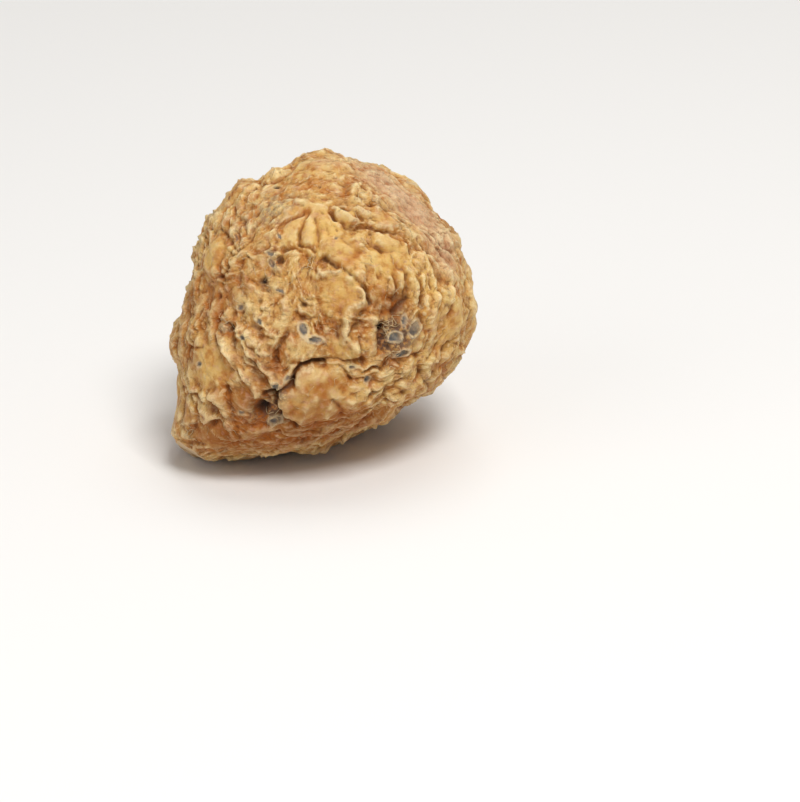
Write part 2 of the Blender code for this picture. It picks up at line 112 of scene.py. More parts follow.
# Swollen pads on the front: right, up, half length, half width, turn in degrees counter-clockwise
# from the right, rise, and how far the pad stands above its neighbours.
PADS: Rows = (
    (-0.3, 20.8, 3.7, 1.4, -4, 0.9, 0.2), (-10.9, 17.5, 1.3, 1.0, 20, 0.7, 0.3),
    (-16.6, 11.9, 1.7, 1.4, 30, 0.7, 0.2), (-16.3, 7.1, 2.1, 2.9, -8, 1.0, 0.5),
    (-12.1, 14.8, 0.9, 1.9, 8, 0.7, 0.2), (-13.0, 11.7, 0.9, 1.7, 4, 0.7, 0.2),
    (-9.8, 15.8, 2.4, 1.3, 8, 0.7, 0.1), (-6.1, 14.4, 4.3, 1.3, 3, 0.6, 0.1),
    (-1.8, 10.6, 1.35, 2.9, 4, 0.9, 0.8), (-5.0, 12.9, 2.3, 1.0, 24, 0.7, 0.5),
    (-4.0, 11.2, 2.5, 1.4, 50, 0.7, 0.7), (0.6, 11.6, 2.6, 1.4, -50, 0.8, 0.7),
    (2.9, 13.2, 1.7, 1.2, -14, 0.8, 0.6), (-1.3, 13.6, 1.4, 1.0, 0, 0.7, 0.8),
    (-6.6, 10.2, 1.9, 0.9, 10, 0.8, 0.3), (1.8, 8.4, 3.0, 1.5, -34, 1.1, 0.7),
    (-8.5, 6.2, 1.4, 1.3, 0, 0.6, 0.0), (-11.2, 5.0, 2.4, 1.1, -22, 0.6, -0.1),
    (-4.6, 5.2, 2.1, 2.0, 20, 0.9, 0.3), (-4.6, 7.4, 2.0, 0.6, 4, 0.6, 0.6),
    (-12.1, 1.1, 1.1, 2.3, 34, 0.8, 0.3), (-16.6, 2.6, 1.7, 1.7, 0, 0.5, -0.3),
    (-8.5, -0.5, 1.3, 2.0, 30, 0.8, 0.2), (-5.3, -0.9, 1.1, 2.6, -8, 0.8, 0.2),
    (-2.1, 0.7, 1.4, 2.3, 0, 0.7, 0.1), (-18.5, 0.1, 1.7, 1.7, 0, 0.5, -0.2),
    (-19.4, -3.3, 1.6, 2.0, -10, 0.6, 0.0), (-15.1, -2.7, 1.7, 1.1, -20, 0.6, -0.1),
    (8.6, 12.4, 2.4, 1.3, -18, 1.0, 0.4), (8.9, 9.0, 2.0, 1.3, -10, 0.9, 0.3),
    (6.0, 13.1, 2.0, 0.6, -38, 0.6, 0.6), (2.9, 6.0, 3.4, 1.3, -32, 1.2, 0.6),
    (4.0, 9.1, 2.0, 1.7, -20, 0.8, 0.2), (7.9, 6.1, 2.6, 1.7, -14, 0.9, 0.2),
    (2.8, 1.3, 3.0, 3.7, 12, 1.5, 0.5), (3.3, -5.9, 2.7, 1.9, -5, 1.1, 0.5),
    (6.8, -5.6, 1.7, 2.1, 8, 0.9, 0.3), (3.1, -2.7, 0.9, 2.9, -14, 1.0, 0.6),
    (8.5, 1.9, 2.3, 1.7, -30, 0.8, 0.2), (11.0, 3.0, 1.0, 2.1, 4, 0.8, 0.2),
    (16.0, -1.7, 1.3, 4.6, 6, 1.1, 0.5), (19.3, -1.6, 1.7, 3.1, 4, 0.9, 0.3),
    (18.6, 4.4, 2.0, 2.3, 20, 0.7, 0.2), (14.2, 5.3, 1.1, 2.0, 20, 0.7, 0.2),
    (11.4, 7.1, 1.4, 1.7, -10, 0.7, 0.2), (15.9, -7.5, 2.0, 1.3, 16, 0.9, 0.3),
    (18.9, -6.1, 1.9, 1.3, 30, 0.7, 0.2), (12.7, -8.4, 1.3, 1.3, 0, 0.8, 0.3),
    (12.3, -10.9, 1.6, 1.3, 0, 0.8, 0.3), (9.2, -10.3, 1.3, 1.1, 20, 0.7, 0.1),
    (16.1, -10.7, 2.0, 1.3, 30, 0.5, -0.2), (10.2, -13.4, 1.3, 1.7, -30, 0.9, 0.4),
    (13.8, -12.4, 2.1, 0.9, 8, 0.7, 0.1), (7.6, -12.6, 1.0, 1.9, -12, 0.8, 0.2),
    (5.5, -12.9, 1.3, 2.0, -10, 0.8, 0.1), (9.3, -15.8, 1.4, 1.3, 10, 0.5, -0.4),
    (-1.4, -13.2, 4.9, 4.1, 4, 2.4, 0.5), (2.1, -9.2, 3.7, 1.0, -18, 0.9, 0.4),
    (3.2, -13.2, 3.6, 2.8, -16, 1.8, 0.4), (-1.0, -10.4, 3.4, 1.7, -14, 1.3, 1.0),
    (-3.6, -6.8, 2.9, 2.0, 20, 1.0, 0.3), (-5.6, -10.9, 2.1, 1.1, -14, 0.9, 0.6),
    (-16.3, -8.7, 3.4, 3.3, 0, 0.9, 0.2), (-11.3, -13.8, 2.3, 2.9, 10, 0.8, 0.0),
    (-16.9, -14.7, 1.3, 2.4, 22, 0.9, 0.6), (-15.0, -13.1, 1.7, 1.1, -30, 0.7, 0.4),
    (-19.7, -15.5, 1.4, 2.1, 0, 0.7, 0.1), (-16.4, -19.1, 2.4, 2.3, -20, 0.8, 0.1),
    (-11.0, -18.3, 2.9, 1.0, 4, 0.7, 0.1), (-8.7, -20.0, 2.6, 0.9, 4, 0.7, 0.2),
    (-0.5, -18.4, 3.7, 1.0, 14, 0.7, 0.1), (4.4, -16.0, 2.3, 1.3, 32, 0.7, 0.0),
    (-4.7, -18.8, 2.0, 1.0, 0, 0.6, 0.0), (-19.8, -18.3, 1.1, 1.1, 0, 0.6, 0.2),
)

# Long folds: the points that each runs through (right, up), half width and rise.
FOLDS: Lines = (
    (((-16.1, -3.5), (-14.3, -5.1), (-12.8, -7.7), (-11.0, -10.5), (-9.4, -12.4)), 0.65, 1.5),
    (((-12.1, -3.3), (-10.9, -5.9), (-9.3, -7.7), (-7.7, -9.9), (-5.9, -11.8)), 0.65, 1.5),
    (((-11.1, -3.4), (-9.2, -5.5), (-7.2, -7.2)), 0.6, 1.2),
    (((-21.0, -12.9), (-18.4, -12.3), (-15.1, -12.7), (-13.9, -14.9), (-13.7, -16.6)), 0.55, 1.1),
    (((-19.6, -13.4), (-18.4, -15.3), (-17.4, -17.0), (-16.0, -15.7), (-14.7, -15.4)), 0.55, 1.0),
    (((-1.1, -12.2), (-2.4, -11.4), (-3.7, -10.6)), 0.5, 0.6),
    (((0.6, -12.4), (2.2, -12.2), (4.2, -13.2)), 0.5, 0.6),
    (((-1.0, -12.9), (-2.1, -14.2), (-3.0, -15.9)), 0.6, 0.6),
    (((0.1, -12.9), (0.7, -14.3), (0.9, -16.2)), 0.6, 0.6),
    (((3.3, -13.0), (4.8, -14.3), (5.6, -15.3)), 0.4, 0.4),
    (((3.6, -12.8), (5.6, -13.2), (6.9, -13.9)), 0.4, 0.4),
    (((-10.6, -0.1), (-9.3, -1.7), (-7.6, -3.8), (-6.0, -4.5)), 0.6, 0.7),
    (((-5.5, 0.7), (-5.7, -1.3), (-6.1, -3.4)), 0.5, 0.6),
    (((0.9, 14.3), (3.7, 12.9), (6.3, 11.1)), 0.5, 0.6),
    (((4.7, 13.9), (6.5, 12.4), (8.2, 11.4), (10.2, 10.9)), 0.45, 0.7),
    (((-4.7, 15.0), (-1.8, 14.5), (0.7, 14.1)), 0.5, 0.5),
    (((13.5, 8.8), (15.1, 6.2), (15.9, 3.6), (16.3, 0.8)), 0.55, 1.0),
    (((17.2, 6.2), (18.0, 3.7), (18.4, 0.9)), 0.55, 1.1),
    (((14.2, 4.3), (14.9, 2.2), (15.0, -0.3)), 0.5, 0.8),
    (((12.8, 4.7), (13.4, 2.9), (13.6, 0.8)), 0.5, 0.8),
    (((-0.6, 4.3), (2.8, 4.9), (5.0, 3.4), (5.4, 1.2),
      (4.0, -0.6), (2.8, -2.2), (2.9, -4.2), (5.1, -6.3)), 0.65, 2.0),
    (((5.4, 6.3), (5.8, 4.6), (5.7, 3.0)), 0.5, 0.6),
    (((10.9, 4.6), (11.5, 2.8), (11.6, 1.4)), 0.5, 0.6),
    (((9.3, 4.2), (9.9, 2.9), (9.9, 1.8)), 0.5, 0.5),
    (((15.4, 7.2), (16.6, 5.4), (17.4, 3.8)), 0.5, 0.7),
    (((12.6, 9.8), (13.0, 8.0), (12.5, 6.3)), 0.5, 0.6),
    (((5.2, -1.8), (7.1, -1.5), (8.6, -2.3)), 0.5, 0.6),
)

# Creases: the points that each runs through (right, up), its half width and depth.
CREASES: Lines = (
    (((-13.9, 6.9), (-14.0, 5.6), (-14.5, 4.8), (-15.8, 4.2)), 0.32, 0.9),
    (((-6.3, 6.2), (-6.0, 7.0), (-5.4, 8.1), (-3.9, 8.3), (-2.9, 7.7)), 0.4, 0.9),
    (((-2.2, 12.9), (-2.8, 12.0), (-3.3, 10.8), (-3.5, 9.0)), 0.30, 1.0),
    (((-1.1, 12.2), (-1.0, 11.4), (-0.5, 10.0), (-0.4, 8.5)), 0.26, 0.8),
    (((-3.4, 8.8), (-1.9, 8.3), (-1.1, 7.7)), 0.28, 1.0),
    (((-3.0, 13.1), (-4.4, 12.3), (-6.2, 11.6)), 0.26, 0.6),
    (((-0.2, 13.1), (0.8, 12.2), (2.0, 10.6)), 0.30, 0.5),
    (((-0.6, 12.6), (0.3, 11.4), (0.8, 10.0)), 0.26, 0.4),
    (((1.0, 14.4), (1.3, 13.2), (1.7, 12.4)), 0.36, 1.2),
    (((0.3, 6.7), (1.7, 5.8), (3.1, 4.8), (4.5, 3.7), (5.9, 2.3), (6.7, 0.3)), 0.42, 1.5),
    (((6.0, 5.5), (6.0, 3.5)), 0.35, 0.8),
    (((7.0, 10.4), (7.1, 8.9), (8.5, 7.7)), 0.38, 0.9),
    (((6.4, 11.5), (8.3, 10.8), (10.4, 10.6)), 0.34, 0.8),
    (((4.5, 18.5), (5.2, 17.4), (6.1, 16.9)), 0.25, 0.8),
    (((4.6, 16.2), (6.2, 14.5), (8.8, 14.0), (10.6, 13.5), (11.4, 12.3), (13.0, 11.4)), 0.36, 1.0),
    (((13.5, 9.5), (14.6, 8.4), (15.5, 7.6)), 0.38, 0.9),
    (((12.3, 9.2), (12.5, 7.7)), 0.3, 0.6),
    (((14.3, 6.7), (14.6, 5.3)), 0.34, 0.7),
    (((16.5, 3.1), (17.0, 1.4), (16.7, -0.8)), 0.3, 0.7),
    (((17.3, 8.5), (17.7, 7.4), (18.6, 6.6)), 0.35, 0.6),
    (((11.8, 2.2), (12.1, 0.8), (10.7, -0.9)), 0.55, 1.1),
    (((0.6, -12.4), (1.9, -13.6), (2.6, -14.8), (2.4, -16.4)), 0.42, 0.6),
    (((-1.4, -12.2), (-2.9, -13.4), (-4.2, -14.9)), 0.4, 0.3),
    (((-0.6, -12.4), (-0.7, -14.0), (-1.3, -15.6)), 0.4, 0.3),
    (((-7.0, -9.8), (-6.8, -6.5), (-5.8, -5.1), (-4.1, -3.6), (-2.8, -1.8)), 0.6, 0.8),
    (((-4.2, -11.2), (-4.1, -9.9), (-3.3, -8.8), (-1.6, -8.1), (0.0, -8.2)), 0.40, 2.2),
    (((-8.5, -12.9), (-6.6, -12.4), (-4.9, -11.7), (-4.2, -10.8)), 0.42, 2.0),
    (((-6.7, -12.6), (-6.8, -14.3), (-6.0, -16.1), (-3.9, -17.6)), 0.42, 1.8),
    (((-13.7, -6.9), (-12.6, -8.4), (-11.3, -10.4)), 0.3, 0.8),
    (((-11.4, -5.6), (-10.6, -7.3), (-9.7, -8.7)), 0.3, 0.8),
    (((-15.7, -2.2), (-14.1, -2.3), (-13.3, -3.5)), 0.36, 0.9),
    (((-18.4, -15.3), (-17.7, -16.8), (-15.7, -16.7)), 0.34, 0.9),
    (((-20.7, -13.0), (-19.0, -12.6), (-17.3, -13.4)), 0.3, 0.8),
    (((-20.0, -6.0), (-18.8, -6.0), (-17.3, -6.0)), 0.28, 0.6),
    (((-13.9, -11.7), (-13.5, -13.8), (-13.0, -16.6)), 0.34, 0.7),
    (((2.1, -4.4), (2.5, -2.7), (2.4, -0.9)), 0.38, 0.8),
    (((5.3, -4.8), (5.4, -6.9), (5.8, -8.4)), 0.32, 0.9),
    (((-0.4, -8.8), (2.4, -8.7), (4.0, -10.4)), 0.3, 0.9),
    (((8.6, -3.3), (8.3, -4.8), (8.8, -6.5)), 0.5, 1.1),
    (((15.2, -2.2), (15.3, -4.0), (14.9, -6.1)), 0.34, 0.8),
    (((14.2, -8.9), (14.5, -10.6), (15.3, -11.7)), 0.4, 0.9),
    (((9.3, -12.0), (9.0, -13.7), (9.6, -14.7)), 0.3, 0.7),
    (((1.4, 13.3), (1.8, 12.2)), 0.35, 0.8),
    (((2.1, 14.3), (3.6, 13.8)), 0.45, 1.1),
    (((-15.1, 11.9), (-13.8, 9.8), (-12.6, 7.8)), 0.3, 0.8),
    (((-11.7, 12.4), (-11.2, 10.3)), 0.28, 0.6),
    (((-1.8, 0.0), (-3.2, 0.7)), 0.35, 0.8),
    (((10.0, 4.4), (10.7, 2.9), (10.7, 1.5)), 0.26, 0.6),
    (((12.0, 4.3), (12.5, 2.8), (12.4, 1.2)), 0.26, 0.7),
    (((13.8, 3.6), (14.3, 2.2), (14.3, 0.4)), 0.28, 0.7),
    (((15.3, 3.6), (15.6, 1.8), (15.5, -0.2)), 0.26, 0.6),
    (((-11.9, -21.1), (-7.7, -21.4)), 0.4, 0.7),
)

# Rootlet pits: right, up, radius, depth and how dark the painted shade in each is.
PITS: Rows = (
    (-7.1, 17.6, 0.5, 1.2, 1.0), (-6.1, 6.6, 0.5, 0.8, 0.4), (-8.8, 3.6, 0.55, 1.2, 1.0),
    (0.6, 6.8, 0.45, 0.8, 0.5), (11.4, 12.3, 0.5, 1.0, 0.7), (2.8, 13.9, 0.45, 1.0, 0.7),
    (10.8, 1.2, 0.8, 1.0, 0.4), (-9.2, -15.2, 1.2, 3.0, 1.0), (-13.7, -3.4, 0.5, 0.9, 0.6),
    (9.0, -4.8, 0.7, 0.9, 0.5), (-2.8, 0.2, 0.4, 0.7, 0.4), (-15.4, 1.1, 0.5, 0.6, 0.3),
    (-8.8, 0.6, 0.4, 0.7, 0.5), (-17.7, -8.4, 0.45, 0.6, 0.5), (-6.9, -12.8, 0.6, 1.6, 1.0),
    (8.7, -3.2, 0.6, 1.6, 0.9), (9.6, -5.8, 0.7, 1.2, 0.8), (-0.6, 17.5, 0.3, 0.5, 0.5),
    (15.0, -10.7, 0.6, 0.6, 0.4),
)

# Wide shallow hollows: right, up, radius and depth.
HOLLOWS: Rows = (
    (11.3, -4.5, 3.3, 1.0), (-7.4, -15.2, 2.4, 0.8), (-7.1, -7.6, 2.4, 0.6), (1.0, -3.8, 2.0, 0.6),
    (11.8, 0.5, 2.2, 0.7), (-8.5, 4.2, 2.2, 0.5), (-15.9, 2.0, 2.0, 0.4),
)

# Where a rootlet or a vessel came through the skin: right, up, half length, half width, turn in
# degrees, how strongly the disc is coloured, and the height of its pale lip.
SCARS: Rows = (
    (-2.9, -3.5, 0.9, 0.55, -60, 0.95, 0.20), (-1.0, -5.0, 0.95, 0.4, -8, 0.95, 0.18),
    (12.0, -2.1, 0.7, 0.35, 80, 0.9, 0.16), (13.5, -3.3, 1.15, 0.8, 62, 0.65, 0.18),
    (10.6, -4.7, 0.8, 0.65, 20, 1.0, 0.22), (11.6, -7.1, 1.0, 0.55, 12, 1.0, 0.18),
    (-7.6, 7.5, 0.65, 0.3, -25, 0.8, 0.08), (-7.4, 6.1, 0.35, 0.7, 20, 0.5, 0.10),
    (-6.2, 2.1, 0.55, 0.22, -35, 1.0, 0.06), (-11.9, -0.3, 0.5, 0.35, 20, 0.8, 0.10),
    (-8.9, -2.3, 0.45, 0.3, -50, 0.9, 0.10), (-11.0, -4.4, 0.3, 0.28, 0, 0.9, 0.06),
    (-6.6, -11.3, 0.5, 0.35, 10, 0.95, 0.12), (-5.0, -10.3, 0.42, 0.3, 30, 0.8, 0.10),
    (-7.2, -17.0, 0.85, 0.6, 30, 0.8, 0.26), (-17.9, -8.4, 0.45, 0.25, 10, 1.0, 0.08),
    (-11.9, -15.5, 0.35, 0.3, 0, 0.8, 0.10), (6.5, -10.8, 0.5, 0.42, 60, 0.85, 0.14),
    (4.1, -8.8, 0.42, 0.22, -10, 0.8, 0.08), (-6.2, 9.8, 0.5, 0.14, -60, 1.0, 0.03),
    (-12.9, 9.9, 0.6, 0.22, -70, 0.45, 0.04), (1.9, 9.4, 0.28, 0.2, 0, 0.6, 0.04),
)

# The way that wrinkles run on the front: right, up and turn in degrees.
FLOW: Rows = (
    (-11.6, -6.2, -58), (-8.1, 0.8, -50), (-15.1, 0.8, -45), (-16.9, 11.7, 85), (-12.4, 12.1, 85),
    (-6.1, 14.1, 0), (-0.5, 15.5, -12), (3.7, 14.1, -28), (8.6, 12.0, -20), (13.5, 9.2, -55),
    (16.3, 2.2, -72), (12.8, 2.2, 88), (20.6, -3.2, 88), (7.9, 7.0, -18), (6.8, 2.1, -50),
    (2.8, 1.4, 78), (-3.2, 3.5, 40), (-3.2, -6.2, 30), (9.3, -3.4, 60), (14.9, -8.9, 20),
    (10.0, -13.1, 70), (0.8, -18.8, 10), (-10.4, -19.5, 2), (-16.0, -18.8, 60), (-16.6, -13.1, -60),
    (-8.8, -14.5, -50), (-0.4, -13.1, 20), (-0.6, 21.5, 0), (12.1, 16.6, -35), (18.0, 5.8, -40),
    (-19.5, -3.3, -75), (-4.6, -2.0, 80), (-8.8, 7.8, -20), (5.8, 17.7, -20), (5.1, -11.1, -15),
)

# Where the small wrinkles fade: right, up, radius and the share that stays.
CALM: Rows = (
    (-1.0, -13.2, 5.4, 0.12), (-16.3, -8.7, 3.8, 0.2), (12.1, 15.8, 5.5, 0.25),
    (2.2, 1.6, 3.2, 0.25), (-16.1, 7.1, 3.0, 0.15), (-16.7, -18.8, 2.8, 0.3),
    (-1.6, 11.4, 4.4, 0.0), (3.1, -6.2, 2.4, 0.4), (-0.6, 21.0, 3.4, 0.45), (8.8, 12.3, 1.8, 0.3),
    (9.0, 7.5, 2.8, 0.3), (16.3, -2.6, 1.6, 0.4), (2.9, 13.2, 2.0, 0.0), (2.8, 7.6, 2.6, 0.1),
    (19.3, -1.6, 2.4, 0.3), (-11.3, -13.8, 2.4, 0.4), (-19.7, -15.5, 1.8, 0.3),
    (-12.0, 1.5, 1.6, 0.4), (-15.0, 16.0, 2.2, 0.4), (11.0, 4.6, 2.0, 0.4),
)

# Patches of other tints: right, up, radius and strength.
TAN_PATCHES: Rows = (
    (14.0, 14.0, 5.5, 1.0), (8.5, 18.8, 4.5, 0.9), (17.5, 8.8, 3.5, 0.9), (11.0, 16.5, 4.0, 0.9),
    (0.0, 21.3, 2.2, 0.5), (18.0, 6.0, 2.5, 0.6),
)
HONEY_PATCHES: Rows = (
    (0.0, 10.0, 3.6, 0.9), (3.0, 12.0, 2.5, 0.6), (-16.5, 7.0, 2.6, 0.9), (-14.8, 16.5, 2.5, 0.6),
    (8.0, 6.5, 3.0, 0.7), (3.0, 2.0, 3.5, 0.5), (11.0, 5.0, 4.5, 0.6), (16.0, 2.0, 4.5, 1.0),
    (13.5, 1.5, 3.2, 0.9), (18.5, -4.0, 3.5, 0.8), (-1.5, -14.0, 3.0, 0.3), (5.5, -12.5, 3.0, 0.4),
    (-16.0, -9.5, 3.5, 0.5), (-18.5, -15.5, 2.0, 0.5), (9.0, 9.5, 2.5, 0.5), (3.5, -6.5, 2.5, 0.5),
    (14.0, -9.5, 3.0, 0.4), (-4.5, 5.0, 2.2, 0.4), (-2.8, 8.5, 2.0, 0.4),
)
# Rust-brown patches; those along the bottom and over the low pad also darken it as painted shade.
RUST_AND_SHADE_PATCHES: Rows = (
    (-15.0, -19.5, 5.0, 0.9), (-9.0, -19.5, 5.0, 1.0), (-3.0, -19.2, 4.2, 1.0),
    (-19.0, 1.5, 3.0, 0.7), (-15.5, 3.0, 2.8, 0.7), (-11.5, 3.0, 2.4, 0.5), (-16.5, -1.0, 3.5, 0.5),
    (-9.8, -13.0, 2.6, 0.9), (-7.0, -8.0, 2.3, 0.7), (10.0, 0.3, 3.0, 0.9), (11.5, -2.0, 2.0, 0.7),
    (9.5, -7.5, 2.0, 0.5), (6.0, -17.0, 3.2, 1.0), (1.5, -18.8, 3.4, 1.0), (13.0, -13.4, 3.2, 0.5),
    (1.0, -3.5, 2.0, 0.5), (-13.0, -12.8, 2.4, 0.6), (-19.5, -7.0, 2.5, 0.4), (-9.5, 7.5, 2.0, 0.5),
    (17.0, -10.0, 2.5, 0.3), (-1.5, -17.0, 4.5, 0.7), (4.0, -15.5, 3.0, 0.7),
    (-0.2, -12.0, 1.4, 0.6), (-10.5, -16.5, 3.5, 0.9), (0.0, -12.5, 5.0, 0.3),
    (-4.5, -11.5, 1.6, 0.3),
)
SOIL_PATCHES: Rows = (
    (11.2, -4.3, 2.9, 1.0), (9.3, -5.6, 1.6, 0.9), (8.8, -3.0, 1.1, 0.8), (-8.0, -15.6, 2.3, 0.9),
    (-6.2, -12.2, 1.5, 0.7), (-6.7, 6.3, 1.3, 0.7), (-8.3, 3.2, 1.0, 0.7), (-7.5, 13.3, 1.6, 0.4),
    (2.5, 13.8, 0.8, 0.6), (-14.3, -3.2, 1.2, 0.5),
)
GREY_PATCHES: Rows = (
    (-7.0, 14.8, 3.5, 0.8), (-11.5, 12.0, 2.5, 0.6), (-10.5, -8.0, 2.5, 0.4),
    (12.0, -4.0, 2.6, 0.5),
)

# Tangles of fine pale rootlets: right, up, spread, and how many.
TANGLES: Rows = (
    (9.8, -2.9, 0.8, 9), (-1.6, 6.1, 0.6, 6), (-13.9, -2.4, 0.5, 4), (10.0, -7.3, 0.5, 4),
    (-19.8, -17.7, 0.6, 5), (-7.6, -16.6, 0.7, 5), (-11.6, 2.5, 0.6, 3), (7.6, 14.4, 0.5, 2),
    (4.6, 15.2, 0.5, 2), (-8.0, 3.4, 0.5, 3),
)


@dataclass(frozen=True)
class Hidden:
    """More of a feature for the sides that the front view doesn't show.

    The spans hold the least and greatest of each number that a named row has after its place.
    """

    seed: int
    count: int
    spans: Rows


MORE_FOLDS = Hidden(201, 70, ((0.45, 0.8), (0.4, 0.9)))
MORE_CREASES = Hidden(202, 120, ((0.24, 0.42), (0.5, 1.2)))
MORE_PITS = Hidden(203, 44, ((0.35, 0.75), (0.6, 1.3), (0.3, 1.0)))
MORE_HOLLOWS = Hidden(204, 24, ((1.6, 3.4), (0.4, 1.0)))
MORE_SCARS = Hidden(205, 46, ((0.4, 0.9), (0.25, 0.55), (-90.0, 90.0), (0.7, 1.0), (0.08, 0.22)))
MORE_CALM = Hidden(206, 34, ((1.6, 4.2), (0.0, 0.4)))
MORE_TAN = Hidden(207, 16, ((2.0, 5.0), (0.3, 0.9)))
MORE_HONEY = Hidden(208, 34, ((1.8, 4.0), (0.4, 0.9)))
MORE_RUST = Hidden(209, 40, ((1.8, 4.2), (0.5, 0.9)))
MORE_SOIL = Hidden(210, 22, ((0.8, 2.2), (0.5, 0.9)))
MORE_GREY = Hidden(211, 16, ((2.0, 3.5), (0.4, 0.8)))

TINTS = {
    "soil": (SOIL_PATCHES, MORE_SOIL),
    "tan": (TAN_PATCHES, MORE_TAN),
    "honey": (HONEY_PATCHES, MORE_HONEY),
    "rust_and_shade": (RUST_AND_SHADE_PATCHES, MORE_RUST),
    "grey": (GREY_PATCHES, MORE_GREY),
}


def unit(vectors: Array) -> Array:
    """Returns the vectors at length one."""
    vectors = np.asarray(vectors, dtype=float)
    return vectors / np.linalg.norm(vectors, axis=-1, keepdims=True)


def way(view_direction: Way) -> Array:
    """Returns a front-view direction (right, up, toward the viewer) as a unit vector."""
    right, up, toward = view_direction
    return unit(right * RIGHT + up * UP + toward * TOWARD)


def swelling(directions: Array, middle: Array, half_width: float, flatness: float = 2.0) -> Array:
    """Returns a round bump, exp(-(angle / half width) ** flatness), about a unit direction."""
    angle = np.arccos(np.clip(directions @ middle, -1.0, 1.0))
    return np.exp(-((angle / math.radians(half_width)) ** flatness))


def hump(values: Array, place: float, width: float) -> Array:
    """Returns exp(-((value - place) / width) ** 2)."""
    return np.exp(-(((values - place) / width) ** 2))


def soft_least(first: Array, second: Array, sharpness: float) -> Array:
    """Returns the lesser of two distances, rounded off: (a ** -k + b ** -k) ** (-1 / k)."""
    return (first ** -sharpness + second ** -sharpness) ** (-1.0 / sharpness)


def plane_distance(directions: Array, normal: Array, distance: float) -> Array:
    """Returns how far along each ray a plane lies, very far where the ray points away from it."""
    return distance / np.maximum(directions @ normal, LEAST_SLOPE)


def ease(low: float, high: float, values: Array) -> Array:
    """Returns 0 below low, 1 above high and the smooth step 3 t^2 - 2 t^3 between them."""
    share = np.clip((values - low) / (high - low), 0.0, 1.0)
    return share * share * (3.0 - 2.0 * share)


def along_skin(vectors: Array, points: Array) -> Array:
    """Returns the part of each vector that runs along the skin at its point, at length one."""
    outward = unit(points)
    return unit(vectors - (vectors * outward).sum(axis=1, keepdims=True) * outward)


def turned_runs(turns: Array, points: Array) -> Array:
    """Returns the skin directions at some turns, in degrees from the right in the front view."""
    angle = np.radians(turns)[:, None]
    return along_skin(np.cos(angle) * RIGHT + np.sin(angle) * UP, points)


class Wander:
    """Smooth noise on a lattice of seeded slopes, in as many dimensions as the points have."""

    SLOPES = 256
    GAIN = 1.5

    def __init__(self, seed: int, dimensions: int = 3) -> None:
        """Draws the slopes.

        Args:
            seed: The seed of the lattice.
            dimensions: How many coordinates a point has.
        """
        generator = np.random.default_rng(seed)
        self.order = generator.permutation(self.SLOPES)
        self.slopes = unit(generator.normal(size=(self.SLOPES, dimensions)))

    def __call__(self, points: Array) -> Array:
        """Blends the slopes at the corners of each point's cell by 6 t^5 - 15 t^4 + 10 t^3.

        Args:
            points: Places in cells of the lattice.

        Returns:
            The noise there, about -1 to 1.
        """
        cell = np.floor(points).astype(int)
        inside = points - cell
        blend = inside ** 3 * (inside * (inside * 6.0 - 15.0) + 10.0)
        total = np.zeros(len(points))
        for corner in np.ndindex(*(2,) * points.shape[1]):
            key = np.zeros(len(points), dtype=int)
            for axis, step in enumerate(corner):
                key = self.order[(key + cell[:, axis] + step) % self.SLOPES]
            rise = (self.slopes[key] * (inside - corner)).sum(axis=1)
            total += rise * np.where(corner, blend, 1.0 - blend).prod(axis=1)
        return total * self.GAIN


@dataclass(frozen=True)
class Ripple:
    """A noise over the skin: its seed, the size of its waves in mm and its amount."""

    seed: int
    size: float
    amount: float

    def __call__(self, points: Array) -> Array:
        """Returns the noise at some points."""
        return self.amount * Wander(self.seed)(points / self.size)


@dataclass(frozen=True)
class Shift(Ripple):
    """Three such noises side by side, as a shift in each direction."""

    def __call__(self, points: Array) -> Array:
        """Returns the shift of some points."""
        noises = [Wander(self.seed + axis)(points / self.size) for axis in range(3)]
        return self.amount * np.stack(noises, axis=1)


@dataclass(frozen=True)
class Zigzag:
    """Winding folds along the grain with sharp crests and creases, all of one size in mm."""

    seed: int
    size: float
    stretch: float
    depth: float

    def __call__(self, points: Array, across: Array) -> Array:
        """Works out the zigzag |2 frac(2 n + 1/4) - 1| - 1/2 of a noise n in four dimensions.

        The noise changes slowly with the place, and quickly with the way across the grain.

        Args:
            points: Points of the plain body.
            across: The way across the grain.

        Returns:
            A height round zero.
        """
        place = np.column_stack([points / (self.size * self.stretch), across / self.size])
        turns = 2.0 * Wander(self.seed, 4)(place) + 0.25
        return self.depth * (np.abs(2.0 * (turns - np.floor(turns)) - 1.0) - 0.5)


class Outline:
    """The outline's distance from the heart at every turn round the front view."""

    STEP = 0.5

    def __init__(self, corners: Rows, rounding: float) -> None:
        """Draws the outline through its corners, then rounds it with a Gaussian.

        Args:
            corners: Points (right, up) in mm.
            rounding: The Gaussian's width in degrees.
        """
        places = np.array(corners)
        angles = np.arctan2(places[:, 1], places[:, 0])
        self.turns = np.radians(np.arange(0.0, 360.0, self.STEP))
        sharp = np.interp(self.turns, angles, np.hypot(*places.T), period=2.0 * math.pi)
        apart = np.minimum(np.arange(len(sharp)), len(sharp) - np.arange(len(sharp)))
        weight = np.exp(-0.5 * (apart * self.STEP / rounding) ** 2)
        weight /= weight.sum()
        self.reach = np.real(np.fft.ifft(np.fft.fft(sharp) * np.fft.fft(weight)))

    def __call__(self, turns: Array) -> Array:
        """Returns the outline's distance at these turns, in radians."""
        return np.interp(turns, self.turns, self.reach, period=2.0 * math.pi)


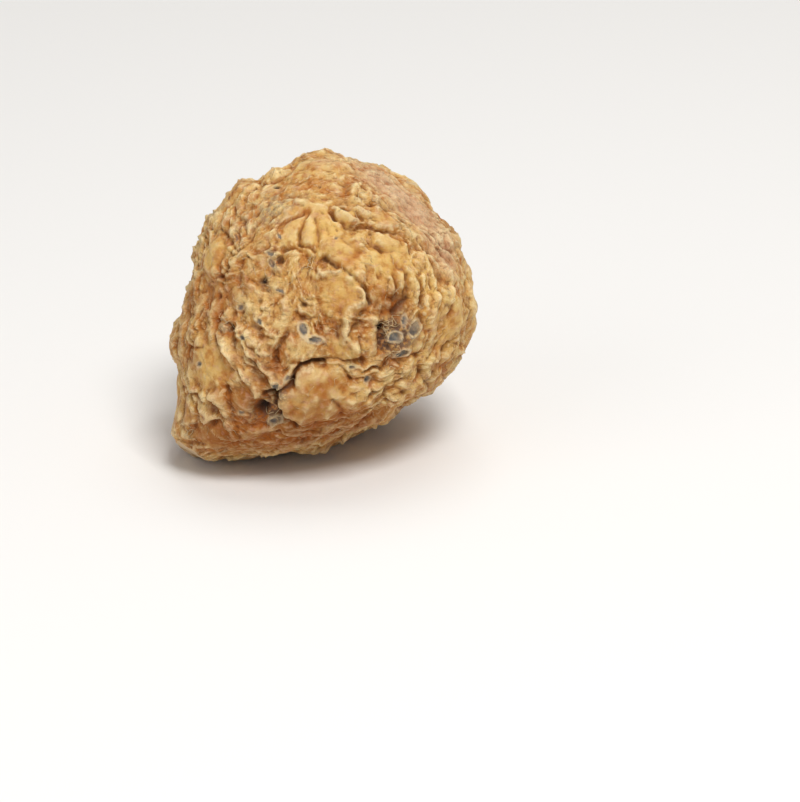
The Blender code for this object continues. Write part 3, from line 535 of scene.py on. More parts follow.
@dataclass
class PlainBody:
    """The root without its relief. All lengths are in mm and all angles in degrees."""

    heart_height: float = 20.6
    front_depth: float = 19.5
    back_depth: float = 23.0
    fullness: float = 2.35
    outline_band: float = 0.40
    flat_blend: float = 40.0
    heel_way: Way = (5.0, 9.0, -20.0)
    heel_height: float = 2.0
    heel_width: float = 26.0
    tail_way: Way = (0.35, 0.45, -0.82)
    tail_height: float = 2.6
    tail_width: float = 11.0
    tail_flatness: float = 4.0
    rest_sink: float = 0.3
    first_depth: float = 12.0
    least_depth_squared: float = 0.3
    depth_rounds: int = 14
    hidden_from: float = 0.12
    hidden_jitter: float = 0.8
    line_steps: int = 12
    line_stride: Span = (0.25, 0.65)
    line_bend: float = 0.07
    detailed: Outline = field(default_factory=lambda: Outline(OUTLINE, 1.6))
    soft: Outline = field(default_factory=lambda: Outline(OUTLINE, 14.0))

    def reach(self, directions: Array) -> Array:
        """Works out how far the plain body reaches along rays from the heart.

        With rho the share of a ray across the view and c the share toward the viewer, the reach is
        ((rho / outline) ** k + (c / depth) ** k) ** (-1 / k), cut by the flats and the floor.

        Args:
            directions: Unit vectors from the heart.

        Returns:
            The distance along each.
        """
        right = directions @ RIGHT
        up = directions @ UP
        toward = directions @ TOWARD
        turns = np.arctan2(up, right)
        soft = self.soft(turns)
        outline = soft + (self.detailed(turns) - soft) * hump(toward, 0.0, self.outline_band)
        depth = np.where(toward > 0.0, self.front_depth, self.back_depth)
        across = (np.hypot(right, up) / outline) ** self.fullness
        along = (np.abs(toward) / depth) ** self.fullness
        reach = (across + along) ** (-1.0 / self.fullness)
        for facing, distance in FLATS:
            flat = plane_distance(directions, way(facing), distance)
            reach = soft_least(reach, flat, self.flat_blend)
        heel = swelling(directions, unit(self.heel_way), self.heel_width)
        tail = swelling(directions, way(self.tail_way), self.tail_width, self.tail_flatness)
        reach = reach + self.heel_height * heel + self.tail_height * tail
        floor = plane_distance(directions, DOWN, self.heart_height + self.rest_sink)
        return soft_least(reach, floor, self.flat_blend)

    def on_front(self, places: Array) -> Array:
        """Finds the points of the body in front of some places by closing in on them.

        Args:
            places: (right, up) in mm.

        Returns:
            The points, from the heart.
        """
        places = np.asarray(places, dtype=float).reshape(-1, 2)
        flat = places[:, :1] * RIGHT + places[:, 1:] * UP
        across = (places ** 2).sum(axis=1)
        toward = np.full(len(places), self.first_depth)
        for _ in range(self.depth_rounds):
            reach = self.reach(unit(flat + toward[:, None] * TOWARD))
            depth = np.sqrt(np.maximum(reach ** 2 - across, self.least_depth_squared))
            toward = 0.5 * (toward + depth)
        return flat + toward[:, None] * TOWARD

    def front_line(self, places: Line, spacing: float = 0.4) -> Array:
        """Runs a line over the front of the body.

        Args:
            places: The points (right, up) that it goes through.
            spacing: The distance between the points returned.

        Returns:
            Points of the line, from the heart.
        """
        corners = np.array(places)
        runs = np.append(0.0, np.cumsum(np.hypot(*np.diff(corners, axis=0).T)))
        steps = np.linspace(0.0, runs[-1], max(2, int(runs[-1] / spacing) + 1))
        even = np.stack([np.interp(steps, runs, corners[:, axis]) for axis in range(2)], axis=1)
        return self.on_front(even)

    def on_all_sides(self, count: int, jitter: float, generator: np.random.Generator) -> Array:
        """Spreads points over the whole body on a golden spiral, each moved a little.

        Args:
            count: How many.
            jitter: How far each is moved, as a share of their spacing.
            generator: Draws the moves.

        Returns:
            The points, from the heart.
        """
        k = np.arange(count) + 0.5
        height = 1.0 - 2.0 * k / count
        turn = k * math.pi * (3.0 - math.sqrt(5.0))
        ring = np.sqrt(1.0 - height ** 2)
        spiral = np.stack([ring * np.cos(turn), ring * np.sin(turn), height], axis=1)
        spiral += generator.normal(size=spiral.shape) * jitter * math.sqrt(4.0 * math.pi / count)
        directions = unit(spiral)
        return directions * self.reach(directions)[:, None]

    def places(self, rows: Rows, more: Hidden) -> tuple[Array, Array]:
        """Finds a feature's places: those named on the front, then the drawn ones on other sides.

        Args:
            rows: Right, up and further numbers of each named place.
            more: The drawn ones.

        Returns:
            The places, from the heart, and the further numbers of each.
        """
        named = np.array(rows)
        generator = np.random.default_rng(more.seed)
        drawn = self.on_all_sides(more.count, self.hidden_jitter, generator)
        numbers = np.stack([generator.uniform(*span, more.count) for span in more.spans], axis=1)
        hidden = unit(drawn) @ TOWARD < self.hidden_from
        return (np.concatenate([self.on_front(named[:, :2]), drawn[hidden]]),
                np.concatenate([named[:, 2:], numbers[hidden]]))

    def lines(self, rows: Lines, more: Hidden, grain: "Grain") -> list[tuple[Array, float, float]]:
        """Finds the lines of folds or creases: the named ones, then drawn ones on other sides.

        A drawn line starts along the grain and turns evenly, step by step over the body.

        Args:
            rows: The points, half width and height of each named line.
            more: The drawn ones.
            grain: The way that wrinkles run.

        Returns:
            The points, half width and height of each line.
        """
        generator = np.random.default_rng(more.seed)
        start = self.on_all_sides(more.count, self.hidden_jitter, generator)
        start = start[unit(start) @ TOWARD < self.hidden_from]
        run = grain(start)
        step = generator.uniform(*self.line_stride, len(start))[:, None]
        bend = generator.normal(0.0, self.line_bend, len(start))[:, None]
        stops = [start]
        for _ in range(self.line_steps):
            run = along_skin(run + bend * np.cross(unit(start), run), start)
            start = unit(start + step * run)
            start = start * self.reach(start)[:, None]
            stops.append(start)
        drawn = np.stack(stops, axis=1)
        numbers = np.stack([generator.uniform(*span, len(drawn)) for span in more.spans], axis=1)
        return [*((self.front_line(line), *sizes) for line, *sizes in rows),
                *((line, *sizes) for line, sizes in zip(drawn, numbers.tolist()))]


class Cells:
    """Points sorted into cubic cells, so that those near a place are found at once."""

    def __init__(self, points: Array, size: float = 1.6) -> None:
        """Sorts the points.

        Args:
            points: The points.
            size: The edge of a cell.
        """
        self.points = points
        self.size = size
        self.low = points.min(axis=0) - size
        place = ((points - self.low) // size).astype(int)
        self.counts = place.max(axis=0) + 2
        key = (place[:, 0] * self.counts[1] + place[:, 1]) * self.counts[2] + place[:, 2]
        self.order = np.argsort(key, kind="stable")
        self.starts = np.searchsorted(key[self.order], np.arange(self.counts.prod() + 1))

    def near(self, middle: Array, radius: float) -> Array:
        """Finds the points within a radius.

        Args:
            middle: The place.
            radius: The distance.

        Returns:
            Their indices.
        """
        first = np.maximum(((middle - radius - self.low) // self.size).astype(int), 0)
        last = np.minimum(((middle + radius - self.low) // self.size).astype(int), self.counts - 1)
        runs = [np.zeros(0, dtype=int)]
        for i in range(first[0], last[0] + 1):
            for j in range(first[1], last[1] + 1):
                row = (i * self.counts[1] + j) * self.counts[2]
                runs.append(self.order[self.starts[row + first[2]]:self.starts[row + last[2] + 1]])
        found = np.concatenate(runs)
        offset = self.points[found] - middle
        return found[(offset * offset).sum(axis=1) < radius * radius]


@dataclass
class Ovals:
    """Many oval domes on the skin, as whole arrays with one entry a dome."""

    middles: Array
    runs: Array
    lengths: Array
    widths: Array
    rises: Array
    stands: Array
    leans: Array
    edge: float
    reach: float = 1.3
    furthest_rim: float = 1.7

    def raise_skin(self, height: Array, cells: Cells) -> Array:
        """Raises the height to the tops of the domes, stand + rise * (1 - q ** edge).

        q is 1 on a dome's oval rim. A lean makes one long side of the dome steeper than the other,
        as where a fold laps over the next.

        Args:
            height: The height of each point so far.
            cells: The points.

        Returns:
            The height, never less than before.
        """
        sides = np.cross(unit(self.middles), self.runs)
        for k in range(len(self.middles)):
            length = self.lengths[k]
            width = self.widths[k]
            near = cells.near(self.middles[k], self.reach * max(length, width))
            offset = cells.points[near] - self.middles[k]
            across = offset @ sides[k] / width
            across = across * (1.0 + self.leans[k] * np.sign(across))
            rim = (offset @ self.runs[k] / length) ** 2 + across ** 2
            dome = self.stands[k] + self.rises[k] * (1.0 - rim ** self.edge)
            higher = np.maximum(height[near], dome)
            height[near] = np.where(rim < self.furthest_rim, higher, height[near])
        return height


def line_distance(points: Array, line: Array) -> Array:
    """Returns the distance from each point to the nearest place on a line of several points."""
    nearest = np.full(len(points), np.inf)
    for start, end in zip(line[:-1], line[1:]):
        step = end - start
        share = np.clip((points - start) @ step / (step @ step), 0.0, 1.0)
        offset = points - start - share[:, None] * step
        nearest = np.minimum(nearest, np.linalg.norm(offset, axis=1))
    return nearest


@dataclass
class Grain:
    """The way that the skin's wrinkles run at any point.

    Each leading direction on the front leads the wrinkles within its reach, in mm, and elsewhere
    they follow a faint swirl.
    """

    body: PlainBody
    reach: float = 3.2
    swirl: Shift = Shift(71, 14.0, 1.0)
    swirl_share: float = 0.04
    nudge: float = 0.001

    def __post_init__(self) -> None:
        """Sets the leading directions on the front."""
        rows = np.array(FLOW, dtype=float)
        self.middles = self.body.on_front(rows[:, :2])
        self.runs = turned_runs(rows[:, 2], self.middles)

    def __call__(self, points: Array) -> Array:
        """Returns the strongest mean of the leading directions near each point."""
        apart = ((points[:, None] - self.middles[None]) ** 2).sum(axis=2)
        weight = np.exp(-apart / (2.0 * self.reach ** 2))
        spread = np.einsum("pk,ki,kj->pij", weight, self.runs, self.runs)
        loose = unit(self.swirl(points) + self.nudge)
        spread += self.swirl_share * loose[:, :, None] * loose[:, None, :]
        outward = unit(points)
        level = np.eye(3) - outward[:, :, None] * outward[:, None, :]
        return np.linalg.eigh(level @ spread @ level)[1][:, :, 2]


def ball_grid(cells: int, crowding: float) -> tuple[Array, Array]:
    """Blows a gridded cube up into a ball: a direction is the unit of tan(pi / 4 * (x, y, z)).

    Args:
        cells: Cells along each edge of the cube.
        crowding: How much finer the grid is toward the viewer than on average.

    Returns:
        Unit directions, and the four corners of each face, counter-clockwise from outside.
    """
    steps = np.arange(cells + 1)
    first, second = np.meshgrid(steps, steps, indexing="ij")
    sheets = []
    for axis in range(3):
        for side in (0, cells):
            sheet = np.zeros((cells + 1, cells + 1, 3), dtype=int)
            sheet[..., axis] = side
            sheet[..., (axis + 1) % 3] = first
            sheet[..., (axis + 2) % 3] = second
            sheets.append(sheet)
    every = np.concatenate([sheet.reshape(-1, 3) for sheet in sheets])
    corners, index = np.unique(every, axis=0, return_inverse=True)
    index = index.reshape(len(sheets), cells + 1, cells + 1)
    quads = []
    for number, sheet in enumerate(index):
        quad = np.stack([sheet[:-1, :-1], sheet[1:, :-1], sheet[1:, 1:], sheet[:-1, 1:]], axis=-1)
        quad = quad.reshape(-1, 4)
        quads.append(quad if number % 2 else quad[:, ::-1])
    directions = unit(np.tan((corners / cells * 2.0 - 1.0) * math.pi / 4.0))
    return unit(directions + crowding * TOWARD), np.concatenate(quads)


def smoothed(values: Array, edges: Array, rounds: int) -> Array:
    """Averages a value over each point's neighbours, again and again.

    Args:
        values: One value a point.
        edges: Pairs of neighbouring points.
        rounds: How many times.

    Returns:
        The smooth values.
    """
    here = np.concatenate([edges[:, 0], edges[:, 1]])
    there = np.concatenate([edges[:, 1], edges[:, 0]])
    count = np.bincount(here, minlength=len(values))
    for _ in range(rounds):
        values = 0.5 * values + 0.5 * np.bincount(here, values[there], len(values)) / count
    return values


def across_grain(points: Array, runs: Array, edges: Array,
                 sweeps: int = 60, rounds: int = 220) -> Array:
    """Measures the way across the grain: a field whose slope is everywhere outward x run.

    The runs have no sign, so each first takes the sign of its neighbours' mean. The field is the
    least-squares fit to the steps along the mesh's edges, found by conjugate gradients.

    Args:
        points: Points of the plain body.
        runs: The direction of the grain at each.
        edges: Pairs of neighbouring points.
        sweeps: How often the signs are mended.
        rounds: Steps of the fit.

    Returns:
        The field, in the points' own units.
    """
    slope = np.cross(unit(points), runs)
    slope *= np.where(slope @ (UP + 0.5 * RIGHT) < 0.0, -1.0, 1.0)[:, None]
    for _ in range(sweeps):
        mean = np.stack([smoothed(slope[:, axis], edges, 2) for axis in range(3)], axis=1)
        slope *= np.where((slope * mean).sum(axis=1) < 0.0, -1.0, 1.0)[:, None]
    here, there = edges.T
    count = len(points)
    step = (0.5 * (slope[here] + slope[there]) * (points[there] - points[here])).sum(axis=1)

    def pull(field_values: Array) -> Array:
        """Returns each point's sum of differences from its neighbours."""
        gap = field_values[there] - field_values[here]
        return np.bincount(there, gap, count) - np.bincount(here, gap, count)

    found = np.zeros(count)
    rest = np.bincount(there, step, count) - np.bincount(here, step, count)
    search = rest.copy()
    power = rest @ rest
    for _ in range(rounds):
        pulled = pull(search)
        share = power / (search @ pulled)
        found += share * search
        rest -= share * pulled
        new_power = rest @ rest
        search = rest + new_power / power * search
        power = new_power
    return found


def new_piece(name: str, points: Array, faces: list[list[int]],
              material: bpy.types.Material) -> bpy.types.Object:
    """Makes a smooth mesh object at the origin from points in mm from the heart.

    Args:
        name: The piece's name.
        points: Its points.
        faces: The corners of its faces.
        material: Its finish.

    Returns:
        The object, riding on the root.
    """
    mesh = bpy.data.meshes.new(name)
    mesh.from_pydata(((points + HEART) * MM).tolist(), [], faces)
    mesh.shade_smooth()
    mesh.materials.append(material)
    piece = bpy.data.objects.new(name, mesh)
    bpy.context.scene.collection.objects.link(piece)
    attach(piece, BODY)
    return piece


@dataclass(frozen=True)
class FineWrinkles:
    """Short narrow ridges that cover the whole skin along the grain.

    Lengths and heights are in mm and turns in radians.
    """

    count: int = 4200
    jitter: float = 0.5
    turn: float = 0.33
    least_width: float = 0.34
    more_width: float = 0.55
    narrowness: float = 1.8
    lengthening: Span = (1.3, 4.2)
    least_rise: float = 0.10
    rise_share: float = 0.50
    stand: float = 0.22
    lean: float = 0.4
    edge: float = 1.15
    floor: float = -0.42

    def height(self, body: PlainBody, cells: Cells, grain: Grain,
               generator: np.random.Generator) -> Array:
        """Spreads the ridges and takes the highest at each point.

        With u drawn evenly from 0 to 1, a ridge is w = least + more * u ** narrowness wide, some
        times longer than that, and rises least + share * w.

        Args:
            body: The plain body.
            cells: The wandering points.
            grain: The way that wrinkles run.
            generator: Draws the ridges.

        Returns:
            A height round zero.
        """
        middles = body.on_all_sides(self.count, self.jitter, generator)
        count = len(middles)
        runs = grain(middles)
        turns = generator.normal(0.0, self.turn, count)[:, None]
        runs = np.cos(turns) * runs + np.sin(turns) * np.cross(unit(middles), runs)
        width = self.least_width + self.more_width * generator.random(count) ** self.narrowness
        length = width * generator.uniform(*self.lengthening, count)
        rise = self.least_rise + self.rise_share * width
        stand = generator.uniform(-self.stand, self.stand, count)
        lean = generator.uniform(-self.lean, self.lean, count)
        ridges = Ovals(middles, runs, length, width, rise, stand, lean, self.edge)
        return ridges.raise_skin(np.full(len(cells.points), self.floor), cells)


@dataclass(frozen=True)
class Scars:
    """Flat sunk discs with a raised pale lip, where rootlets came through the skin.

    Distances are in mm. A place or a span on a rim is in shares of the disc's own half widths.
    """

    wobble: Shift = Shift(51, 0.7, 0.12)
    ground_rounds: int = 12
    ground_rim: float = 1.2
    furthest: float = 3.0
    furthest_rim: float = 9.0
    fade: Span = (0.82, 1.06)
    sunk: float = 0.22
    lip_rim: float = 1.24
    lip_width: float = 0.14
    lip_gain: float = 1.3
    lip_paint: float = 3.6
    most_lip_paint: float = 0.8
    shaded_up: float = -0.8
    shaded_right: float = -0.5
    shaded: Span = (-0.1, 0.7)

    def press(self, points: Array, height: Array, edges: Array,
              body: PlainBody) -> tuple[Array, dict[str, Array]]:
        """Sets the scars into the skin one by one.

        Args:
            points: Points of the plain body.
            height: The height so far.
            edges: Pairs of neighbouring points.
            body: The plain body.

        Returns:
            The new height, and the masks of the discs, their lips and their painted shadows.
        """
        ground = smoothed(height, edges, self.ground_rounds)
        disc, lip, dark = np.zeros((3, len(points)))
        moved = points + self.wobble(points)
        shaded_way = self.shaded_up * UP + self.shaded_right * RIGHT
        for middle, (length, width, turn, shade, rise) in zip(*body.places(SCARS, MORE_SCARS)):
            run = turned_runs(np.array([turn]), middle[None])[0]
            side = np.cross(unit(middle), run)
            offset = moved - middle
            rim = np.hypot(offset @ run / length, offset @ side / width)
            near = (offset * offset).sum(axis=1) < self.furthest ** 2
            rim = np.where(near, rim, self.furthest_rim)
            inside = 1.0 - ease(*self.fade, rim)
            edge = hump(rim, self.lip_rim, self.lip_width / width)
            under = rim < self.ground_rim
            level = ground[under].mean() if under.any() else 0.0
            height = height + (level - self.sunk - height) * inside
            height = height + self.lip_gain * rise * edge
            disc = np.maximum(disc, shade * inside)
            lip = np.maximum(lip, edge * min(self.most_lip_paint, rise * self.lip_paint))
            # Painted shadow: a dark crescent on the lower left of each sunk disc.
            painted_scar_shadow = inside * ease(*self.shaded, offset @ shaded_way / width)
            dark = np.maximum(dark, shade * painted_scar_shadow)
        return height, {"scar": disc, "rim": lip, "painted_scar_shadow": dark}


@dataclass(frozen=True)
class Stub:
    """The tap root, broken off at the back in a rough oval with a ring and a groove round it.

    Lengths are in mm. A ring or groove has its place and width in shares of the radius.
    """

    radius: float = 2.3
    raggedness: Shift = Shift(81, 1.1, 0.5)
    fibres: Ripple = Ripple(84, 0.5, 0.45)
    swells: Ripple = Ripple(85, 1.4, 0.5)
    fade: Span = (0.8, 1.0)
    level: float = 0.2
    ring: Span = (1.12, 0.14)
    ring_height: float = 0.5
    groove: Span = (1.6, 0.2)
    groove_depth: float = 0.8

    def break_off(self, points: Array, height: Array, body: PlainBody) -> tuple[Array, Array]:
        """Brings the height within the oval to a rough level.

        Args:
            points: Points of the plain body.
            height: The height so far.
            body: The plain body.

        Returns:
            The new height, and the mask of the broken face.
        """
        tail = way(body.tail_way)
        offset = points - tail * body.reach(tail[None]) + self.raggedness(points)
        rim = np.linalg.norm(offset, axis=1) / self.radius
        broken = 1.0 - ease(*self.fade, rim)
        rough = self.fibres(points) + self.swells(points)
        height = height + (self.level + rough - height) * broken
        ring = self.ring_height * hump(rim, *self.ring)
        return height + ring - self.groove_depth * hump(rim, *self.groove), broken


@dataclass
class RootSkin:
    """The whole outside of the root, as one closed fine mesh.

    Lengths and heights are in mm and angles in degrees. The two shares of crumples and drapes are
    those of the calmest skin and of the most wrinkled.
    """

    body: PlainBody
    cells: int = 128
    crowding: float = 0.22
    seed: int = 5
    spot_width: float = 15.0
    spot_flatness: float = 4.0
    waves: tuple[Shift, ...] = (Shift(11, 3.1, 0.60), Shift(21, 1.3, 0.34), Shift(31, 0.6, 0.13))
    skin_level: float = 1.15
    skin_floor: float = -1.3
    pad_share: float = 0.62
    pad_growth: float = 1.15
    pad_edge: float = 1.35
    spread_pads: int = 330
    spread_jitter: float = 0.35
    spread_spans: Rows = ((1.9, 3.6), (1.2, 2.1), (0.55, 1.0), (-0.4, 0.3))
    spread_gap: float = 0.75
    spread_lean: float = 0.3
    spread_edge: float = 1.4
    line_reach: float = 4.0
    fold_share: float = 0.75
    fold_edge: float = 1.4
    fold_unevenness: Ripple = Ripple(96, 1.7, 0.5)
    wrinkles: FineWrinkles = FineWrinkles()
    wrinkle_share: float = 0.36
    crumples: tuple[Zigzag, ...] = (
        Zigzag(91, 3.4, 2.9, 0.60), Zigzag(92, 1.5, 3.2, 0.28), Zigzag(93, 0.7, 3.4, 0.12),
    )
    crumple_bends: tuple[Ripple, ...] = (Ripple(61, 3.0, 1.1), Ripple(62, 1.3, 0.35))
    crumple_unevenness: Ripple = Ripple(63, 4.0, 0.6)
    crumple_shares: Span = (0.1, 1.0)
    drapes: tuple[Zigzag, ...] = (
        Zigzag(66, 3.4, 2.4, 0.20), Zigzag(67, 1.6, 2.4, 0.12), Zigzag(68, 0.8, 2.4, 0.05),
    )
    drape_bend: Ripple = Ripple(64, 3.4, 1.3)
    drape_shares: Span = (0.9, 0.3)
    scars: Scars = Scars()
    stub: Stub = Stub()
    stub_flesh: float = 0.7
    crease_share: float = 0.65
    crease_wander: float = 0.45
    crease_edge: float = 1.6
    # How deep creases and hollows must be to take painted shade, and how much they take.
    painted_shade_depths: Span = (0.7, 1.8)
    painted_shade_share: float = 0.6
    pit_share: float = 0.6
    pit_edge: float = 2.2
    dark_width: float = 0.9
    dark_edge: float = 3.0
    calm_hardness: float = 4.0
    tint_hardness: float = 2.5
    fine_rounds: int = 5
    broad_rounds: int = 60
    cut_way: Way = (-0.54, -0.84, 0.13)
    cut_distance: float = 27.6
    cut_grain: Ripple = Ripple(95, 0.8, 0.06)
    cut_edge: float = 0.25
    masks: dict[str, Array] = field(default_factory=dict)

    def build(self) -> bpy.types.Object:
        """Works the skin out and makes its mesh.

        Returns:
            The piece that stands for the solid root.
        """
        directions, quads = ball_grid(self.cells, self.crowding)
        sides = np.concatenate([quads[:, [k, (k + 1) % 4]] for k in range(4)])
        edges = np.unique(np.sort(sides, axis=1), axis=0)
        plain = self.body.reach(directions)
        points = directions * plain[:, None]
        spot = swelling(directions, DOWN, self.spot_width, self.spot_flatness)
        reach = plain + self.relief(points, edges) * (1.0 - spot)
        reach = self.cut(directions, reach, points)
        reach = np.minimum(reach, plane_distance(directions, DOWN, self.body.heart_height))
        skin = directions * reach[:, None]
        piece = new_piece("root_skin", skin, quads.tolist(), SkinFinish().material())
        for name, mask in self.masks.items():
            layer = piece.data.attributes.new(name, "FLOAT", "POINT")
            layer.data.foreach_set("value", mask.astype(np.float32))
        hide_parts(NODE)
        return piece

    def relief(self, points: Array, edges: Array) -> Array:
        """Adds up the skin's relief and works out its colour masks.

        Args:
            points: Points of the plain body.
            edges: Pairs of neighbouring points.

        Returns:
            The height of the skin above the body.
        """
        generator = np.random.default_rng(self.seed)
        moved = points.copy()
        for wave in self.waves:
            moved += wave(points)
        cells = Cells(moved)
        grain = Grain(self.body)
        height = self.folds(self.pads(cells, grain, generator), cells, grain)
        calm = self.patch(points, CALM, MORE_CALM, self.calm_hardness, keep=True)
        across = across_grain(points, grain(points), edges)
        self.masks.update(worn=calm, across=across)
        wrinkles = self.wrinkles.height(self.body, cells, grain, generator)
        height = height + self.wrinkle_share * calm * wrinkles
        crumple_share = np.interp(calm, (0.0, 1.0), self.crumple_shares)
        height = height + crumple_share * self.crumple(points, across)
        drape_share = np.interp(calm, (0.0, 1.0), self.drape_shares)
        height = height + drape_share * self.drape(points, across)
        height, marks = self.scars.press(points, height, edges, self.body)
        height, broken = self.stub.break_off(points, height, self.body)
        self.masks.update(marks, cut=self.stub_flesh * broken)
        furrow, pit = self.furrows(points, moved, grain)
        height = height - self.crease_share * furrow - self.pit_share * pit
        self.colour_masks(points, height, edges)
        return height

    def pads(self, cells: Cells, grain: Grain, generator: np.random.Generator) -> Array:
        """Raises the seeded pads that cover every side, then the front's own pads.

        Args:
            cells: The wandering points.
            grain: The way that wrinkles run.
            generator: Draws the seeded pads.

        Returns:
            The height of each point.
        """
        rows = np.array(PADS)
        middles = self.body.on_front(rows[:, :2])
        spread = self.body.on_all_sides(self.spread_pads, self.spread_jitter, generator)
        sizes = np.stack([generator.uniform(*span, len(spread)) for span in self.spread_spans])
        apart = np.linalg.norm(spread[:, None] - middles[None], axis=2)
        free = (apart > self.spread_gap * rows[:, 2:4].max(axis=1)).all(axis=1)
        spread = spread[free]
        length, width, rise, stand = sizes[:, free]
        leans = generator.uniform(-self.spread_lean, self.spread_lean, len(spread))
        seeded = Ovals(spread, grain(spread), length, width, rise * self.pad_share,
                       stand * self.pad_share - self.skin_level, leans, self.spread_edge)
        height = seeded.raise_skin(np.full(len(cells.points), self.skin_floor), cells)
        length, width = self.pad_growth * rows[:, 2:4].T
        rise, stand = self.pad_share * rows[:, 5:7].T
        placed = Ovals(middles, turned_runs(rows[:, 4], middles), length, width, rise,
                       stand - self.skin_level, np.zeros(len(rows)), self.pad_edge)
        return placed.raise_skin(height, cells)

    def near_lines(self, rows: Lines, more: Hidden, cells: Cells,
                   grain: Grain) -> Iterator[tuple[Array, Array, float]]:
        """Goes through the lines of folds or creases.

        Args:
            rows: The named lines.
            more: The drawn ones.
            cells: The points.
            grain: The way that wrinkles run.

        Yields:
            The points near a line, how many half widths off each is, and the line's height.
        """
        for line, half_width, height in self.body.lines(rows, more, grain):
            middle = line.mean(axis=0)
            reach = np.linalg.norm(line - middle, axis=1).max() + self.line_reach * half_width
            near = cells.near(middle, reach)
            yield near, line_distance(cells.points[near], line) / half_width, height

    def folds(self, height: Array, cells: Cells, grain: Grain) -> Array:
        """Raises the long folds by rise * exp(-distance ** edge), higher here and lower there.

        Args:
            height: The height so far.
            cells: The wandering points.
            grain: The way that wrinkles run.

        Returns:
            The new height.
        """
        uneven = 1.0 + self.fold_unevenness(cells.points)
        for near, across, rise in self.near_lines(FOLDS, MORE_FOLDS, cells, grain):
            ridge = np.exp(-(across ** self.fold_edge))
            height[near] += self.fold_share * rise * uneven[near] * ridge
        return height

    def crumple(self, points: Array, across: Array) -> Array:
        """Adds up winding folds of several sizes, deeper here and shallower there.

        Args:
            points: Points of the plain body.
            across: The way across the grain.

        Returns:
            A height round zero.
        """
        bent = across + sum(bend(points) for bend in self.crumple_bends)
        uneven = 1.0 + self.crumple_unevenness(points)
        return uneven * sum(fold(points, bent) for fold in self.crumples)

    def drape(self, points: Array, across: Array) -> Array:
        """Returns low folds along the grain, which cross the swollen pads too."""
        bent = across + self.drape_bend(points)
        return sum(fold(points, bent) for fold in self.drapes)

    def furrows(self, points: Array, moved: Array, grain: Grain) -> tuple[Array, Array]:
        """Works out the depth of the named creases and hollows, and of the rootlet pits.

        Each is its depth times exp(-distance ** edge), the distance in its own half widths.

        Args:
            points: Points of the plain body.
            moved: The wandering points.
            grain: The way that wrinkles run.

        Returns:
            The depth of creases and hollows, and the depth of pits.
        """
        halfway = (1.0 - self.crease_wander) * points + self.crease_wander * moved
        crease, pit, dark = np.zeros((3, len(points)))
        lines = self.near_lines(CREASES, MORE_CREASES, Cells(halfway), grain)
        for near, across, deep in lines:
            crease[near] += deep * np.exp(-(across ** self.crease_edge))
        for middle, (radius, deep) in zip(*self.body.places(HOLLOWS, MORE_HOLLOWS)):
            across = np.linalg.norm(points - middle, axis=1) / radius
            crease += deep * np.exp(-(across ** 2))
        for middle, (radius, deep, darkness) in zip(*self.body.places(PITS, MORE_PITS)):
            across = np.linalg.norm(halfway - middle, axis=1) / radius
            pit += deep * np.exp(-(across ** self.pit_edge))
            shadow = np.exp(-((across / self.dark_width) ** self.dark_edge))
            dark = np.maximum(dark, darkness * shadow)
        # Painted shade: dark paint in the rootlet pits and where creases and hollows run deepest.
        self.masks["painted_recess_shade"] = np.maximum(dark, self.painted_shade_share * ease(*self.painted_shade_depths, crease))
        return crease, pit

    def patch(self, points: Array, rows: Rows, more: Hidden, hardness: float,
              keep: bool = False) -> Array:
        """Blends round patches together.

        Args:
            points: Points of the plain body.
            rows: Right, up, radius and strength of each named patch.
            more: The drawn patches.
            hardness: How suddenly they end.
            keep: The strengths are shares that stay, and the result is their product.

        Returns:
            The strength at each point, up to 1.
        """
        rest = np.ones(len(points))
        for middle, (radius, strength) in zip(*self.body.places(rows, more)):
            near = np.linalg.norm(points - middle, axis=1) / radius
            share = np.exp(-(near ** hardness))
            rest *= 1.0 - ((1.0 - strength) if keep else strength) * share
        return rest if keep else 1.0 - rest

    def colour_masks(self, points: Array, height: Array, edges: Array) -> None:
        """Keeps the masks that colour the skin: crests, creases and tinted patches.

        Args:
            points: Points of the plain body.
            height: The finished height.
            edges: Pairs of neighbouring points.
        """
        close = smoothed(height, edges, self.fine_rounds)
        wide = smoothed(close, edges, self.broad_rounds)
        # Crests and creases at two sizes, for the painted highlights and painted shade.
        self.masks.update(fine=height - close, broad=close - wide)
        for name, (rows, more) in TINTS.items():
            self.masks[name] = self.patch(points, rows, more, self.tint_hardness)

    def cut(self, directions: Array, reach: Array, points: Array) -> Array:
        """Trims the crown off nearly flat, with the faint grain of the root's flesh.

        Args:
            directions: Unit vectors from the heart.
            reach: The skin's distance along each.
            points: Points of the plain body.

        Returns:
            The distance, no further than the cut.
        """
        plane = plane_distance(directions, way(self.cut_way), self.cut_distance)
        plane = plane + self.cut_grain(points)
        trimmed = ease(0.0, self.cut_edge, reach - plane)
        self.masks["cut"] = np.maximum(trimmed, self.masks["cut"])
        return np.minimum(reach, plane)


def linear(colour: str) -> tuple[float, float, float, float]:
    """Returns an sRGB paint such as "d8a860" as the linear colour that a shader takes."""
    shares = [int(colour[k:k + 2], 16) / 255.0 for k in (0, 2, 4)]
    red, green, blue = [s / 12.92 if s <= 0.04045 else ((s + 0.055) / 1.055) ** 2.4 for s in shares]
    return red, green, blue, 1.0


class Sum(Enum):
    """How numbers are put together."""

    ADD = "ADD"
    SUBTRACT = "SUBTRACT"
    MULTIPLY = "MULTIPLY"
    ABSOLUTE = "ABSOLUTE"


